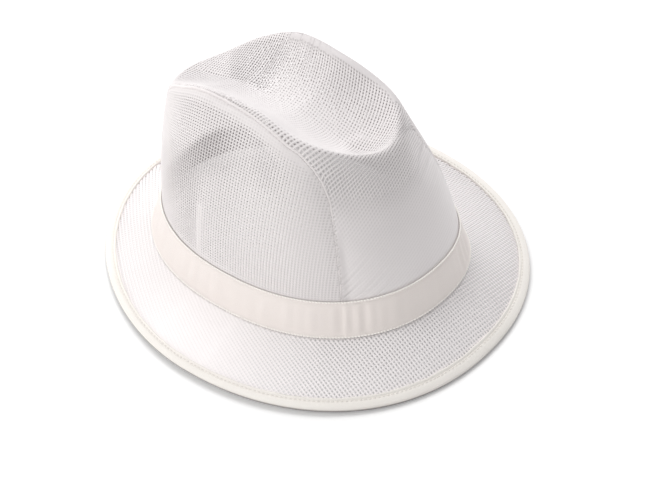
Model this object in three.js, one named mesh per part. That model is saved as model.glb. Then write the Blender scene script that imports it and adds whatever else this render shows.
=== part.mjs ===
// A white net trilby, resting on the edge of its brim, front towards -Y.
// Units are millimetres. +Z is up, and the floor is z = 0.
// Angles run round the hat from the front centre, 0 degrees, by the wearer's
// left side, 90 degrees, and the back, 180 degrees, to the right side, 270 degrees.

import * as THREE from "three";

// Cloth thicknesses and the gap kept between neighbouring pieces.
const NET_WALL = 1.2;
const BAND_WALL = 1.0;
const TAPE_WALL = 0.9;
const GAP = 0.3;

// The join is the line where the band meets the brim. It is higher at the front.
const JOIN = { halfLength: 103, halfWidth: 77.3, roundness: 2.23, centre: { x: 1.5, y: 2.5 } };
const JOIN_HEIGHT = { mean: 17.1, frontRise: 7.9, sideDip: 5.3 };

// The band leans inwards a little towards its top edge.
const BAND = { height: 22.2, leanLength: 5.7, leanWidth: 6.2 };

// The brim's outer edge is an egg, fuller at the front than at the back.
const BRIM = {
  halfWidth: 122,
  frontLength: 131.5,
  backLength: 137,
  frontRoundness: 2.15,
  backRoundness: 1.87,
};
const BRIM_CENTRE = { x: 0, y: (BRIM.frontLength - BRIM.backLength) / 2 };
// Its sides stand a little clear of the floor; front and back lie flat on it.
const BRIM_SIDE_LIFT = 2.0;
const FLAT_HALF_ANGLE = 14;

// The tape bound round the brim's edge.
const BINDING = { width: 6.6, footWidth: 1.8, noseDepth: 0.5 };

// The ridge round the dished top, half of it, measured across from the crown's
// middle line: the other half mirrors it.
const RIDGE_ROWS = [
  { angle: 0, x: 0, y: -57.5, z: 118.5 },
  { angle: 22.5, x: 17.5, y: -53, z: 120.5 },
  { angle: 45, x: 33.5, y: -40, z: 126 },
  { angle: 67.5, x: 41, y: -21, z: 130.5 },
  { angle: 90, x: 41.5, y: 6.5, z: 137 },
  { angle: 112.5, x: 43.5, y: 41.5, z: 136 },
  { angle: 135, x: 38.5, y: 67, z: 122.5 },
  { angle: 157.5, x: 24.5, y: 86, z: 106.5 },
  { angle: 180, x: 0, y: 93, z: 103 },
];
// The soft top leans: its ridge is higher on the wearer's right by this slope.
const RIDGE_LEAN = 0.165;

// The valley along the middle of the dish.
const VALLEY_ROWS = [
  { angle: 0, y: -34, z: 105 },
  { angle: 45, y: -24, z: 106 },
  { angle: 90, y: 8, z: 113 },
  { angle: 135, y: 50, z: 112 },
  { angle: 180, y: 76, z: 104 },
];
const DISH_FULLNESS = 1.7;

// How late the wall turns in towards the ridge: 1 is a straight wall.
const WALL_FULLNESS = { front: 1.0, side: 1.75, back: 2.2 };
// Rounding of the ridge, as a share of the wall below it.
const RIDGE_ROUNDING = 0.1;

// Two thumb dents at the front corners of the crown.
const PINCH = { angle: 38, spread: 17, height: 0.72, heightSpread: 0.2, depth: 3.5 };

// The seams that join the centre panel to the side panels. Height is a share
// of the way from the band's top edge, 0, to the ridge, 1.
const FRONT_SEAM_ANGLE = 47;
const BACK_SEAM_ANGLE = 152;
const SEAM_ROWS = [
  { angle: 0, height: 0.72 },
  { angle: 30, height: 0.69 },
  { angle: 47, height: 0.66 },
  { angle: 50, height: 0.77 },
  { angle: 55, height: 0.85 },
  { angle: 62, height: 0.91 },
  { angle: 75, height: 0.94 },
  { angle: 90, height: 0.96 },
  { angle: 110, height: 0.99 },
  { angle: 140, height: 0.99 },
  { angle: 152, height: 0.93 },
  { angle: 180, height: 0.93 },
];

// The side panels are drawn in from their seams by this much.
const SEAM_GAP_ANGLE = 0.5;
const SEAM_GAP_LEVEL = 0.008;

// How finely the cloth walls are faceted. Rows gather near the ridge, where the face
// turns most: each gather is the power that spaces them.
const FRONT_CELLS = 16;
const SIDE_CELLS = 18;
const BACK_CELLS = 10;
const ROWS_BELOW_SEAM = 11;
const ROWS_ABOVE_SEAM = 10;
const SKIRT_ROWS = 1;
const GATHER_BELOW_SEAM = 1.25;
const GATHER_ABOVE_SEAM = 1.6;
const BRIM_ROWS = 4;
const BAND_ROWS = 2;

const NET_WHITE = 0xf4f1ef;
const BAND_WHITE = 0xf3ece4;
const TAPE_WHITE = 0xf1ebe3;

const radians = (degrees) => (degrees * Math.PI) / 180;
const lerp = (a, b, share) => a + (b - a) * share;
const signedPower = (value, power) => Math.sign(value) * Math.abs(value) ** power;
const clamp = (value, low, high) => Math.min(high, Math.max(low, value));

// The angle folded onto one half of the hat, from 0 at the front to 180 at the back.
function halfAngle(angle) {
  const turned = ((angle % 360) + 360) % 360;
  return Math.min(turned, 360 - turned);
}

// A column's value at an angle, straight between the table's rows.
function tableValue(rows, column, angle) {
  const half = halfAngle(angle);
  const next = rows.findIndex((row) => row.angle >= half);
  if (next <= 0) return rows[0][column];
  const before = rows[next - 1];
  const after = rows[next];
  const share = (half - before.angle) / (after.angle - before.angle);
  return lerp(before[column], after[column], share);
}

// A point on an oval whose corners are fuller than an ellipse's where roundness is over 2.
function ovalPoint(angle, halfLength, halfWidth, roundness, centre) {
  const turn = radians(angle);
  const x = centre.x + signedPower(Math.sin(turn), 2 / roundness) * halfWidth;
  const y = centre.y - signedPower(Math.cos(turn), 2 / roundness) * halfLength;
  return new THREE.Vector2(x, y);
}

function joinHeight(angle) {
  const turn = radians(angle);
  const rise = JOIN_HEIGHT.frontRise * Math.cos(turn);
  return JOIN_HEIGHT.mean + rise - JOIN_HEIGHT.sideDip * Math.sin(turn) ** 2;
}

// The band's outer face: share 0 is its lower edge, 1 its upper edge.
function bandFace(angle, share, inset = 0) {
  const halfLength = JOIN.halfLength - BAND.leanLength * share - inset;
  const halfWidth = JOIN.halfWidth - BAND.leanWidth * share - inset;
  const plan = ovalPoint(angle, halfLength, halfWidth, JOIN.roundness, JOIN.centre);
  return new THREE.Vector3(plan.x, plan.y, joinHeight(angle) + BAND.height * share);
}

// The brim's outer edge in plan.
function brimEdge(angle) {
  const inFront = Math.cos(radians(angle)) > 0;
  const halfLength = inFront ? BRIM.frontLength : BRIM.backLength;
  const roundness = inFront ? BRIM.frontRoundness : BRIM.backRoundness;
  return ovalPoint(angle, halfLength, BRIM.halfWidth, roundness, BRIM_CENTRE);
}

function brimLift(angle) {
  const flat = Math.sin(radians(FLAT_HALF_ANGLE)) ** 2;
  const risen = Math.max(0, Math.sin(radians(angle)) ** 2 - flat);
  return (BRIM_SIDE_LIFT * risen) / (1 - flat);
}

const ridgePoints = [...RIDGE_ROWS, ...RIDGE_ROWS.slice(1, -1).reverse()].map((row, index) => {
  const side = index < RIDGE_ROWS.length ? 1 : -1;
  const x = side * row.x;
  return new THREE.Vector3(JOIN.centre.x + x, row.y, row.z - RIDGE_LEAN * x);
});
const ridgeCurve = new THREE.CatmullRomCurve3(ridgePoints, true, "catmullrom", 0.5);

function ridgePoint(angle) {
  const turned = ((angle % 360) + 360) % 360;
  return ridgeCurve.getPoint(turned / 360);
}

function valleyPoint(angle) {
  const y = tableValue(VALLEY_ROWS, "y", angle);
  const z = tableValue(VALLEY_ROWS, "z", angle);
  return new THREE.Vector3(JOIN.centre.x, y, z);
}

function wallFullness(angle) {
  const turn = radians(angle);
  const end = Math.cos(turn) > 0 ? WALL_FULLNESS.front : WALL_FULLNESS.back;
  return lerp(end, WALL_FULLNESS.side, Math.sin(turn) ** 2);
}

const CROWN_INSET = BAND_WALL + GAP;

// The crown before its ridge is rounded. Level -1 to 0 is behind the band, 0 to 1
// the wall up to the ridge, and 1 to 2 the dish down to the valley.
function sharpCrownPoint(angle, level) {
  if (level <= 0) return bandFace(angle, 1 + level, CROWN_INSET);
  const ridge = ridgePoint(angle);
  if (level <= 1) {
    const foot = bandFace(angle, 1, CROWN_INSET);
    const inward = level ** wallFullness(angle);
    return new THREE.Vector3(
      lerp(foot.x, ridge.x, inward),
      lerp(foot.y, ridge.y, inward),
      lerp(foot.z, ridge.z, level),
    );
  }
  const share = Math.min(1, level - 1);
  const valley = valleyPoint(angle);
  const sunk = 1 - (1 - share) ** DISH_FULLNESS;
  return new THREE.Vector3(
    lerp(ridge.x, valley.x, share),
    lerp(ridge.y, valley.y, share),
    lerp(ridge.z, valley.z, sunk),
  );
}

function pinchDepth(angle, level) {
  const across = (halfAngle(angle) - PINCH.angle) / PINCH.spread;
  const along = (level - PINCH.height) / PINCH.heightSpread;
  return PINCH.depth * Math.exp(-(across ** 2) - along ** 2);
}

const SMOOTHING_STEPS = 4;

// The crown's outer face: the sharp section averaged over a short reach, then pinched.
function crownPoint(angle, level) {
  if (level <= 0) return sharpCrownPoint(angle, level);
  const reach = Math.min(RIDGE_ROUNDING, level, 2 - level);
  const point = new THREE.Vector3();
  for (let step = -SMOOTHING_STEPS; step <= SMOOTHING_STEPS; step += 1) {
    point.add(sharpCrownPoint(angle, level + (reach * step) / SMOOTHING_STEPS));
  }
  point.divideScalar(2 * SMOOTHING_STEPS + 1);
  const inward = new THREE.Vector3(JOIN.centre.x - point.x, JOIN.centre.y - point.y, 0);
  return point.addScaledVector(inward.normalize(), pinchDepth(angle, level));
}

const ANGLE_PROBE = 1.5;
const LEVEL_PROBE = 0.03;

// The crown's outward direction, from short steps along its face.
function crownNormal(angle, level) {
  const low = clamp(level - LEVEL_PROBE, -1, 2 - 2 * LEVEL_PROBE);
  const near = clamp(level, -1, 2 - LEVEL_PROBE);
  const high = clamp(level + LEVEL_PROBE, -1, 2);
  const round = crownPoint(angle + ANGLE_PROBE, near).sub(crownPoint(angle - ANGLE_PROBE, near));
  const up = crownPoint(angle, high).sub(crownPoint(angle, low));
  return round.cross(up).normalize();
}

// Builds one closed body from the quads of an outer face. Each quad lists four
// corner names, anticlockwise from outside; corner(name) gives the outer and
// inner points, and open edges are closed by walls between the two faces.
function clothBody(quads, corner) {
  const positions = [];
  const indexOf = new Map();
  const vertex = (name, side) => {
    const key = `${name}/${side}`;
    if (!indexOf.has(key)) {
      indexOf.set(key, positions.length / 3);
      positions.push(...corner(name)[side].toArray());
    }
    return indexOf.get(key);
  };
  const triangles = [];
  const edges = new Map();
  for (const quad of quads) {
    const names = quad.filter((name, index) => name !== quad[(index + 1) % quad.length]);
    for (let index = 1; index < names.length - 1; index += 1) {
      const [a, b, c] = [names[0], names[index], names[index + 1]];
      triangles.push([vertex(a, "outer"), vertex(b, "outer"), vertex(c, "outer")]);
      triangles.push([vertex(a, "inner"), vertex(c, "inner"), vertex(b, "inner")]);
    }
    names.forEach((name, index) => {
      const following = names[(index + 1) % names.length];
      if (edges.has(`${following}>${name}`)) {
        edges.delete(`${following}>${name}`);
      } else {
        edges.set(`${name}>${following}`, [name, following]);
      }
    });
  }
  for (const [from, to] of edges.values()) {
    const outer = [vertex(from, "outer"), vertex(to, "outer")];
    const inner = [vertex(from, "inner"), vertex(to, "inner")];
    triangles.push([outer[0], inner[0], inner[1]]);
    triangles.push([outer[0], inner[1], outer[1]]);
  }
  const geometry = new THREE.BufferGeometry();
  geometry.setAttribute("position", new THREE.Float32BufferAttribute(positions, 3));
  geometry.setIndex(triangles.flat());
  geometry.computeVertexNormals();
  return geometry;
}

// Builds one closed ring from a section: a loop of points given for every angle.
function ringBody(angles, section) {
  const loops = angles.map(section);
  const count = loops[0].length;
  const positions = loops.flat().flatMap((point) => point.toArray());
  const triangles = [];
  loops.forEach((loop, column) => {
    const next = (column + 1) % loops.length;
    for (let index = 0; index < count; index += 1) {
      const following = (index + 1) % count;
      const a = column * count + index;
      const b = next * count + index;
      const c = next * count + following;
      const d = column * count + following;
      triangles.push(a, b, c, a, c, d);
    }
  });
  const geometry = new THREE.BufferGeometry();
  geometry.setAttribute("position", new THREE.Float32BufferAttribute(positions, 3));
  geometry.setIndex(triangles);
  geometry.computeVertexNormals();
  return geometry;
}

// Evenly spaced angles from one to the other, without the last.
function angleSteps(from, to, count) {
  return Array.from({ length: count }, (_, index) => lerp(from, to, index / count));
}

const COLUMN_ANGLES = [
  ...angleSteps(-FRONT_SEAM_ANGLE, FRONT_SEAM_ANGLE, FRONT_CELLS),
  ...angleSteps(FRONT_SEAM_ANGLE, BACK_SEAM_ANGLE, SIDE_CELLS),
  ...angleSteps(BACK_SEAM_ANGLE, 360 - BACK_SEAM_ANGLE, BACK_CELLS),
  ...angleSteps(360 - BACK_SEAM_ANGLE, 360 - FRONT_SEAM_ANGLE, SIDE_CELLS),
];
const COLUMNS = COLUMN_ANGLES.length;
const ROWS = ROWS_BELOW_SEAM + ROWS_ABOVE_SEAM;

// A row's level at an angle. The seam is always on the row ROWS_BELOW_SEAM.
function rowLevel(angle, row) {
  if (row < SKIRT_ROWS) return -1 + row / SKIRT_ROWS;
  const seam = tableValue(SEAM_ROWS, "height", angle);
  if (row <= ROWS_BELOW_SEAM) {
    const share = (row - SKIRT_ROWS) / (ROWS_BELOW_SEAM - SKIRT_ROWS);
    return seam * (1 - (1 - share) ** GATHER_BELOW_SEAM);
  }
  const share = (row - ROWS_BELOW_SEAM) / ROWS_ABOVE_SEAM;
  return seam + (2 - seam) * share ** GATHER_ABOVE_SEAM;
}

function clothAt(angle, level) {
  const outer = crownPoint(angle, level);
  const normal = crownNormal(angle, level);
  return { outer, inner: outer.clone().addScaledVector(normal, -NET_WALL) };
}

const isSideColumn = (column) => {
  const onLeft = column >= FRONT_CELLS && column < FRONT_CELLS + SIDE_CELLS;
  return onLeft || column >= COLUMNS - SIDE_CELLS;
};

// The strip that runs up the front, over the dished top and down the back. Its two
// halves share their corners along the valley, on the last row.
function centrePanel() {
  const corners = new Map();
  const nameOf = (column, row) => {
    const wrapped = (column + COLUMNS) % COLUMNS;
    const angle = COLUMN_ANGLES[wrapped];
    const shared = row === ROWS ? halfAngle(angle).toFixed(3) : String(wrapped);
    const name = `${shared}:${row}`;
    if (!corners.has(name)) {
      const folded = row === ROWS ? halfAngle(angle) : angle;
      corners.set(name, clothAt(folded, rowLevel(angle, row)));
    }
    return name;
  };
  const quads = [];
  for (let column = 0; column < COLUMNS; column += 1) {
    for (let row = 0; row < ROWS; row += 1) {
      if (isSideColumn(column) && row < ROWS_BELOW_SEAM) continue;
      quads.push([
        nameOf(column, row),
        nameOf(column + 1, row),
        nameOf(column + 1, row + 1),
        nameOf(column, row + 1),
      ]);
    }
  }
  for (const [name, corner] of corners) {
    if (name.endsWith(`:${ROWS}`)) {
      corner.inner = corner.outer.clone().add(new THREE.Vector3(0, 0, -NET_WALL));
    }
  }
  return clothBody(quads, (name) => corners.get(name));
}

// One arched side panel between the two seams: side is 1 on the left, -1 on the right.
function sidePanel(side) {
  const corners = new Map();
  const nameOf = (cell, row) => {
    const name = `${cell}:${row}`;
    if (!corners.has(name)) {
      const column = lerp(FRONT_SEAM_ANGLE, BACK_SEAM_ANGLE, cell / SIDE_CELLS);
      const low = FRONT_SEAM_ANGLE + SEAM_GAP_ANGLE;
      const angle = clamp(column, low, BACK_SEAM_ANGLE - SEAM_GAP_ANGLE);
      const inset = row === ROWS_BELOW_SEAM ? SEAM_GAP_LEVEL : 0;
      corners.set(name, clothAt(side * angle, rowLevel(column, row) - inset));
    }
    return name;
  };
  const quads = [];
  for (let cell = 0; cell < SIDE_CELLS; cell += 1) {
    for (let row = 0; row < ROWS_BELOW_SEAM; row += 1) {
      const quad = [
        nameOf(cell, row),
        nameOf(cell + 1, row),
        nameOf(cell + 1, row + 1),
        nameOf(cell, row + 1),
      ];
      quads.push(side > 0 ? quad : quad.reverse());
    }
  }
  return clothBody(quads, (name) => corners.get(name));
}

// The band: a cloth hoop round the foot of the crown.
function bandSection(angle) {
  const shares = Array.from({ length: BAND_ROWS + 1 }, (_, index) => index / BAND_ROWS);
  const outer = shares.map((share) => bandFace(angle, share));
  const inner = shares.map((share) => bandFace(angle, share, BAND_WALL)).reverse();
  return [...outer, ...inner];
}

// Height of the middle of the tape at the brim's edge.
function edgeHeight(angle) {
  return brimLift(angle) + NET_WALL / 2 + GAP + TAPE_WALL;
}

// The brim's upper face: share 0 is the join and 1 the outer edge of the tape.
function brimFace(angle, share) {
  const inner = bandFace(angle, 0, BAND_WALL);
  const edge = brimEdge(angle);
  return new THREE.Vector3(
    lerp(inner.x, edge.x, share),
    lerp(inner.y, edge.y, share),
    lerp(inner.z - GAP, edgeHeight(angle) + NET_WALL / 2, share),
  );
}

// How far along the brim, as a share of its reach, a distance in from the edge lies.
function shareFromEdge(angle, distance) {
  const inner = bandFace(angle, 0, BAND_WALL);
  const edge = brimEdge(angle);
  return 1 - distance / Math.hypot(edge.x - inner.x, edge.y - inner.y);
}

function brimSection(angle) {
  const last = shareFromEdge(angle, TAPE_WALL + BINDING.noseDepth + GAP);
  const shares = Array.from({ length: BRIM_ROWS + 1 }, (_, index) => (last * index) / BRIM_ROWS);
  const upper = shares.map((share) => brimFace(angle, share));
  const lower = upper.map((point) => point.clone().setZ(point.z - NET_WALL));
  return [...lower, ...upper.reverse()];
}

// The binding's section: a tape folded round the edge, pressed flat where it rests.
function bindingSection(angle) {
  const at = (distance, rise) => {
    const point = brimFace(angle, shareFromEdge(angle, distance));
    return point.setZ(point.z - NET_WALL / 2 + rise);
  };
  const inside = NET_WALL / 2 + GAP;
  const outside = inside + TAPE_WALL;
  const slot = TAPE_WALL + BINDING.noseDepth;
  const floor = brimLift(angle);
  const foot = at(BINDING.noseDepth, 0).setZ(floor);
  const heel = at(BINDING.noseDepth + BINDING.footWidth, 0).setZ(floor);
  return [
    at(BINDING.width, -outside),
    heel,
    foot,
    at(0, 0),
    at(BINDING.noseDepth, outside),
    at(BINDING.width, outside),
    at(BINDING.width, inside),
    at(slot, inside),
    at(slot, -inside),
    at(BINDING.width, -inside),
  ];
}

const netMaterial = () => new THREE.MeshStandardMaterial({
  color: NET_WHITE,
  roughness: 0.85,
  metalness: 0,
});

const group = new THREE.Group();

function addPiece(name, geometry, material) {
  const mesh = new THREE.Mesh(geometry, material);
  mesh.name = name;
  group.add(mesh);
}

addPiece("crown_centre_panel", centrePanel(), netMaterial());
addPiece("side_panel_left", sidePanel(1), netMaterial());
addPiece("side_panel_right", sidePanel(-1), netMaterial());
addPiece("brim", ringBody(COLUMN_ANGLES, brimSection), netMaterial());
addPiece(
  "hat_band",
  ringBody(COLUMN_ANGLES, bandSection),
  new THREE.MeshStandardMaterial({ color: BAND_WHITE, roughness: 0.8, metalness: 0 }),
);
addPiece(
  "brim_binding",
  ringBody(COLUMN_ANGLES, bindingSection),
  new THREE.MeshStandardMaterial({ color: TAPE_WHITE, roughness: 0.75, metalness: 0 }),
);

export default group;
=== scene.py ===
"""The looks of a white net trilby: its net, seams, band, tape and stage, built on its frame."""

import math
from functools import partial

import bpy
import numpy as np
from mathutils import Matrix, Vector
from mathutils.bvhtree import BVHTree


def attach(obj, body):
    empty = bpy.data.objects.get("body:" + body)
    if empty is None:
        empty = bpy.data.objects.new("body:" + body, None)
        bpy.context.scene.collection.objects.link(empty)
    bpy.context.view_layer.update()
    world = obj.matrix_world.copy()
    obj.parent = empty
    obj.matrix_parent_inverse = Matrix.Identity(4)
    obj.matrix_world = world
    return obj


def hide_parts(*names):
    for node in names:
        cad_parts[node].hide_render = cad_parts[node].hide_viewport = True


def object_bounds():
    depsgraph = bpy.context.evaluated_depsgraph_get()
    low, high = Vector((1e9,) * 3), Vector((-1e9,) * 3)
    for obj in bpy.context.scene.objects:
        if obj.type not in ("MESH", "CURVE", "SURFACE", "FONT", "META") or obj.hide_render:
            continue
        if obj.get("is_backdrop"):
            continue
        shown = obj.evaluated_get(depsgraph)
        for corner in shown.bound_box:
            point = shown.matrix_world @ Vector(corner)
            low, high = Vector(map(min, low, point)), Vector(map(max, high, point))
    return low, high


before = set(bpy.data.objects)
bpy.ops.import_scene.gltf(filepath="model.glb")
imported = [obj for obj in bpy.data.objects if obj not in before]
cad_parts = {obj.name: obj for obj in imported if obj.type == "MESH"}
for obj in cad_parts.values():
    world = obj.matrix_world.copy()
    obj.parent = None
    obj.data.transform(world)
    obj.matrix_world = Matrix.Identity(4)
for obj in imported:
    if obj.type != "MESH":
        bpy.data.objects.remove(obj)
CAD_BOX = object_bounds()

bl_info = {
    "name": "White net trilby",
    "version": (1, 0, 0),
    "blender": (4, 5, 0),
    "location": "3D View > Sidebar > Trilby",
    "description": "Builds the net, seams, band and brim tape of a white net trilby on its frame",
    "category": "Add Mesh",
}


def table(columns, *rows):
    """Rows of numbers as dictionaries, with a name for each column."""
    return [dict(zip(columns.split(), row)) for row in rows]


# Shapes are worked out in millimetres and turned into metres as each mesh is made.
# Angles run round the hat in degrees: 0 at the front, 90 on the wearer's left,
# 180 at the back and 270 on the right.
MM = 0.001
BODY = "root"

# The frame's own sizes, which the cloth follows.
NET_WALL = 1.2
BAND_WALL = 1.0
TAPE_WALL = 0.9
GAP = 0.3
JOIN = {"half_length": 103.0, "half_width": 77.3, "roundness": 2.23, "x": 1.5, "y": 2.5}
JOIN_HEIGHT = {"mean": 17.1, "front_rise": 7.9, "side_dip": 5.3}
BAND = {"height": 22.2, "lean_length": 5.7, "lean_width": 6.2}
BRIM = {
    "half_width": 122.0,
    "front_length": 131.5,
    "back_length": 137.0,
    "front_roundness": 2.15,
    "back_roundness": 1.87,
}
BRIM_CENTRE_Y = (BRIM["front_length"] - BRIM["back_length"]) / 2
BRIM_SIDE_LIFT = 2.0
FLAT_HALF_ANGLE = 14.0

# The ridge round the dished top, half of it: x is measured from the middle line.
RIDGE_ROWS = table(
    "angle x y z",
    (0.0, 0.0, -57.5, 118.5),
    (22.5, 17.5, -53.0, 120.5),
    (45.0, 33.5, -40.0, 126.0),
    (67.5, 41.0, -21.0, 130.5),
    (90.0, 41.5, 6.5, 137.0),
    (112.5, 43.5, 41.5, 136.0),
    (135.0, 38.5, 67.0, 122.5),
    (157.5, 24.5, 86.0, 106.5),
    (180.0, 0.0, 93.0, 103.0),
)
RIDGE_LEAN = 0.165
VALLEY_ROWS = table(
    "angle y z",
    (0.0, -34.0, 105.0),
    (45.0, -24.0, 106.0),
    (90.0, 8.0, 113.0),
    (135.0, 50.0, 112.0),
    (180.0, 76.0, 104.0),
)
DISH_FULLNESS = 1.7
WALL_FULLNESS = {"front": 1.0, "side": 1.75, "back": 2.2}
RIDGE_ROUNDING = 0.1
SMOOTHING_STEPS = 4
PINCH = {"angle": 38.0, "spread": 17.0, "height": 0.72, "height_spread": 0.2, "depth": 3.5}
FRONT_SEAM = 47.0
BACK_SEAM = 152.0
SEAM_ROWS = table(
    "angle height",
    (0.0, 0.72),
    (30.0, 0.69),
    (47.0, 0.66),
    (50.0, 0.77),
    (55.0, 0.85),
    (62.0, 0.91),
    (75.0, 0.94),
    (90.0, 0.96),
    (110.0, 0.99),
    (140.0, 0.99),
    (152.0, 0.93),
    (180.0, 0.93),
)
HEM_LEVEL = -0.97

# Steps in degrees and levels or shares for finding normals, and the levels they are found at.
CROWN_STEPS = (1.0, 0.03)
CLOTH_STEPS = (0.5, 0.02)
NORMAL_LEVELS = (-1.9, 1.9)

# Half of a rib's width, as a share of a cell, where the net is drawn nearly shut.
CLOSED_HALF_WIDTH = 0.485

# How much lower a rib is where the net is drawn shut.
CLOSED_FLATTENING = 0.5

# Past this fill the holes give way to pits, which grow shallower as the fill nears 1.
OPEN_FILL = 0.85
SHUT_PIT = 0.3
SHUT_DIMPLE = 0.12
SHUT_THICKNESS = 0.12

# How much painted shade the hollows and the threads get at each fill, 0 being as bright as the ribs.
PAINTED_SHADE_ROWS = table(
    "fill hollow thread",
    (-0.6, 0.75, 0.5),
    (0.0, 0.3, 0.3),
    (0.45, 0.55, 0.16),
    (0.8, 0.62, 0.1),
    (0.88, 0.42, 0.08),
    (0.95, 0.14, 0.06),
    (1.0, 0.0, 0.0),
)

# Rough lengths of one degree and one level on the crown, for finding the nearest outline.
DEGREE_LENGTH = 1.35
WALL_LENGTH = 95.0

# Where the seams turn: the crossing nearest to each corner, within this reach, is put on it.
FRONT_CORNER_LEVEL = 0.66
BACK_CORNER_LEVEL = 0.93
SEAM_CORNERS = [(BACK_SEAM, BACK_CORNER_LEVEL), (FRONT_SEAM, FRONT_CORNER_LEVEL)]
CORNER_REACH = 5.0

# How far past a seam's own line a border crossing may lie and still be put on it.
SEAM_MARGIN_LEVEL = 0.08
SEAM_MARGIN_ANGLE = 2.0

# How finely the crown is sampled for rays.
SKIN_ANGLE_STEP = 1.5
SKIN_LEVELS = 181

# Where and how finely the side panels' and the strip's lattices are laid out.
SIDE_TOP_LEVEL = 1.1
SIDE_SAMPLES = 300
SIDE_ANGLES = (36.0, 164.0)
SIDE_ANGLE_STEP = 0.5
SIDE_HALF_WIDTH = 104.0
STRIP_SAMPLES = 600
STRIP_SIDES = (-70.0, 73.0)
STRIP_COLUMNS = 90
STRIP_HALF_WIDTH = 72.0
STRIP_OVERRUN = 26.0

# How fast the fan turns beyond the strip's ends, and how far it may turn.
TURN_PER_MM = 0.01
FAN_MOST = 1.3
BEND_MOST = 1.3

# How often and how strongly the strip's lattice is evened out.
RELAX_ROUNDS = 100
RELAX_STEP = 0.22

# The centre panel's cross threads lie in planes that hold the X direction. Over the top
# the planes stand upright, and in front and behind they fan out from these points.
FRONT_FAN = {"y": 10.0, "z": -35.0}
BACK_FAN = {"y": 50.0, "z": -10.0}
FRONT_FAN_REACH = 60.0
BACK_FAN_REACH = 78.0

# How the ribs run at each place along the strip: bend is how far they are drawn towards
# the back at both sides, and skew how far they gain on the back for each step to the left.
BEND_ROWS = table(
    "along bend skew",
    (0.0, 0.0, 0.3),
    (70.0, 0.0, 0.36),
    (95.0, 2.0, 0.3),
    (130.0, 13.0, 0.14),
    (160.0, 13.0, 0.1),
    (200.0, 5.0, 0.14),
    (240.0, 0.0, 0.1),
    (300.0, 0.0, 0.0),
    (400.0, 0.0, 0.0),
)
BEND_HALF_WIDTH = 42.0

# The brim's net is one flat ring closed into a shallow cone at the back: its lattice is a
# plain grid raised to a power, turned so that the ribs run as they do on the hat.
BRIM_OPENING = 0.75
BRIM_TRUE_RADIUS = 108.0
BRIM_GRAIN = 85.0
BRIM_EDGE_TUCK = 2.6
BRIM_NET_RADIUS = 145.0
BRIM_RAY_HEIGHT = 90.0

# Rough lengths of the brim's reach and of one degree at its back, for finding the nearest edge.
BRIM_REACH = 38.0
BRIM_DEGREE_LENGTH = 2.0

# The cloths' shifting tone, the painted shade of their gaps and hollows, and their shine.
FIBRES_PER_METRE = 2600.0
FIBRE_SHARE = 0.55
SHIFT_RANGE = (0.45, 1.15)
ROUGHNESS_SHIFT = 0.12
BUMP_DISTANCE = 0.0002
# Painted shade between a weave's threads, and in a net's hollows and shadowed places.
WEAVE_GAP_SHADE_COLOUR = (0.86, 0.85, 0.84, 1.0)
HOLLOW_SHADE_COLOUR = (0.18, 0.165, 0.17, 1.0)
CLOTH_SPECULAR = 0.3
CLOTH_SHEEN = 0.15

# Cords and stitches: the sides of their rings, how far ahead a stitch aims, and its rings
# as shares of its length and radius.
TUBE_SIDES = 8
STITCH_SIDES = 6
STITCH_AIM = 0.3
STITCH_RINGS = table(
    "along width rise",
    (-0.5, 0.35, -0.9),
    (-0.34, 0.9, 0.1),
    (0.0, 1.0, 0.55),
    (0.34, 0.9, 0.1),
    (0.5, 0.35, -0.9),
)

# How far the holes of each net are shut and how much painted shade it gets: 0 fill is the plain net, 1
# is shut, and below 0 the holes are wider. A tone of 1 is the darkest painted shade.
# Painted light: takes painted shade off the brim's hollows where they are shut.
BRIM_PAINTED_LIGHT = 0.5
DISH_FILL = 0.12
CREST_FILL = 0.83
# Painted light: takes painted shade off the lit slope inside the right ridge.
CREST_PAINTED_LIGHT = 0.47
VALLEY_FADE = 0.45
WALL_TIGHTENING = 0.08
DARK_CORNER_FILL = -0.18
WALL_FILL_ROWS = table(
    "level fill",
    (-1.0, 0.975),
    (0.3, 0.965),
    (0.55, 0.93),
    (0.68, 0.88),
    (0.8, 0.6),
    (0.9, 0.3),
    (1.0, DISH_FILL),
)
# A side panel's tone is painted shade, a little more towards the front.
SIDE_FILL_ROWS = table(
    "angle fill tone",
    (47.0, 0.62, 0.15),
    (60.0, 0.5, 0.13),
    (76.0, 0.12, 0.07),
    (95.0, -0.1, 0.04),
    (152.0, 0.1, 0.04),
)
SHEER_FILL = -0.32
ARCH_FILL = {"front": -0.15, "back": -0.7}
BRIM_FILL_ROWS = table(
    "angle fill",
    (0.0, -0.06),
    (15.0, -0.22),
    (90.0, -0.3),
    (130.0, 0.0),
    (215.0, 0.0),
    (235.0, 0.35),
    (256.0, 0.82),
    (274.0, 0.82),
    (292.0, 0.35),
    (308.0, 0.0),
    (360.0, -0.06),
)
DOUBLED_FILL = 0.91
# Painted shadow on the centre panel beside the front seams.
SEAM_PAINTED_SHADOW = 0.24
# Painted shade on the far strip of doubled net.
STRIP_PAINTED_SHADE = 0.26
STRIP_FILL = 0.965
STRIP_END_ANGLE = 117.0

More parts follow.
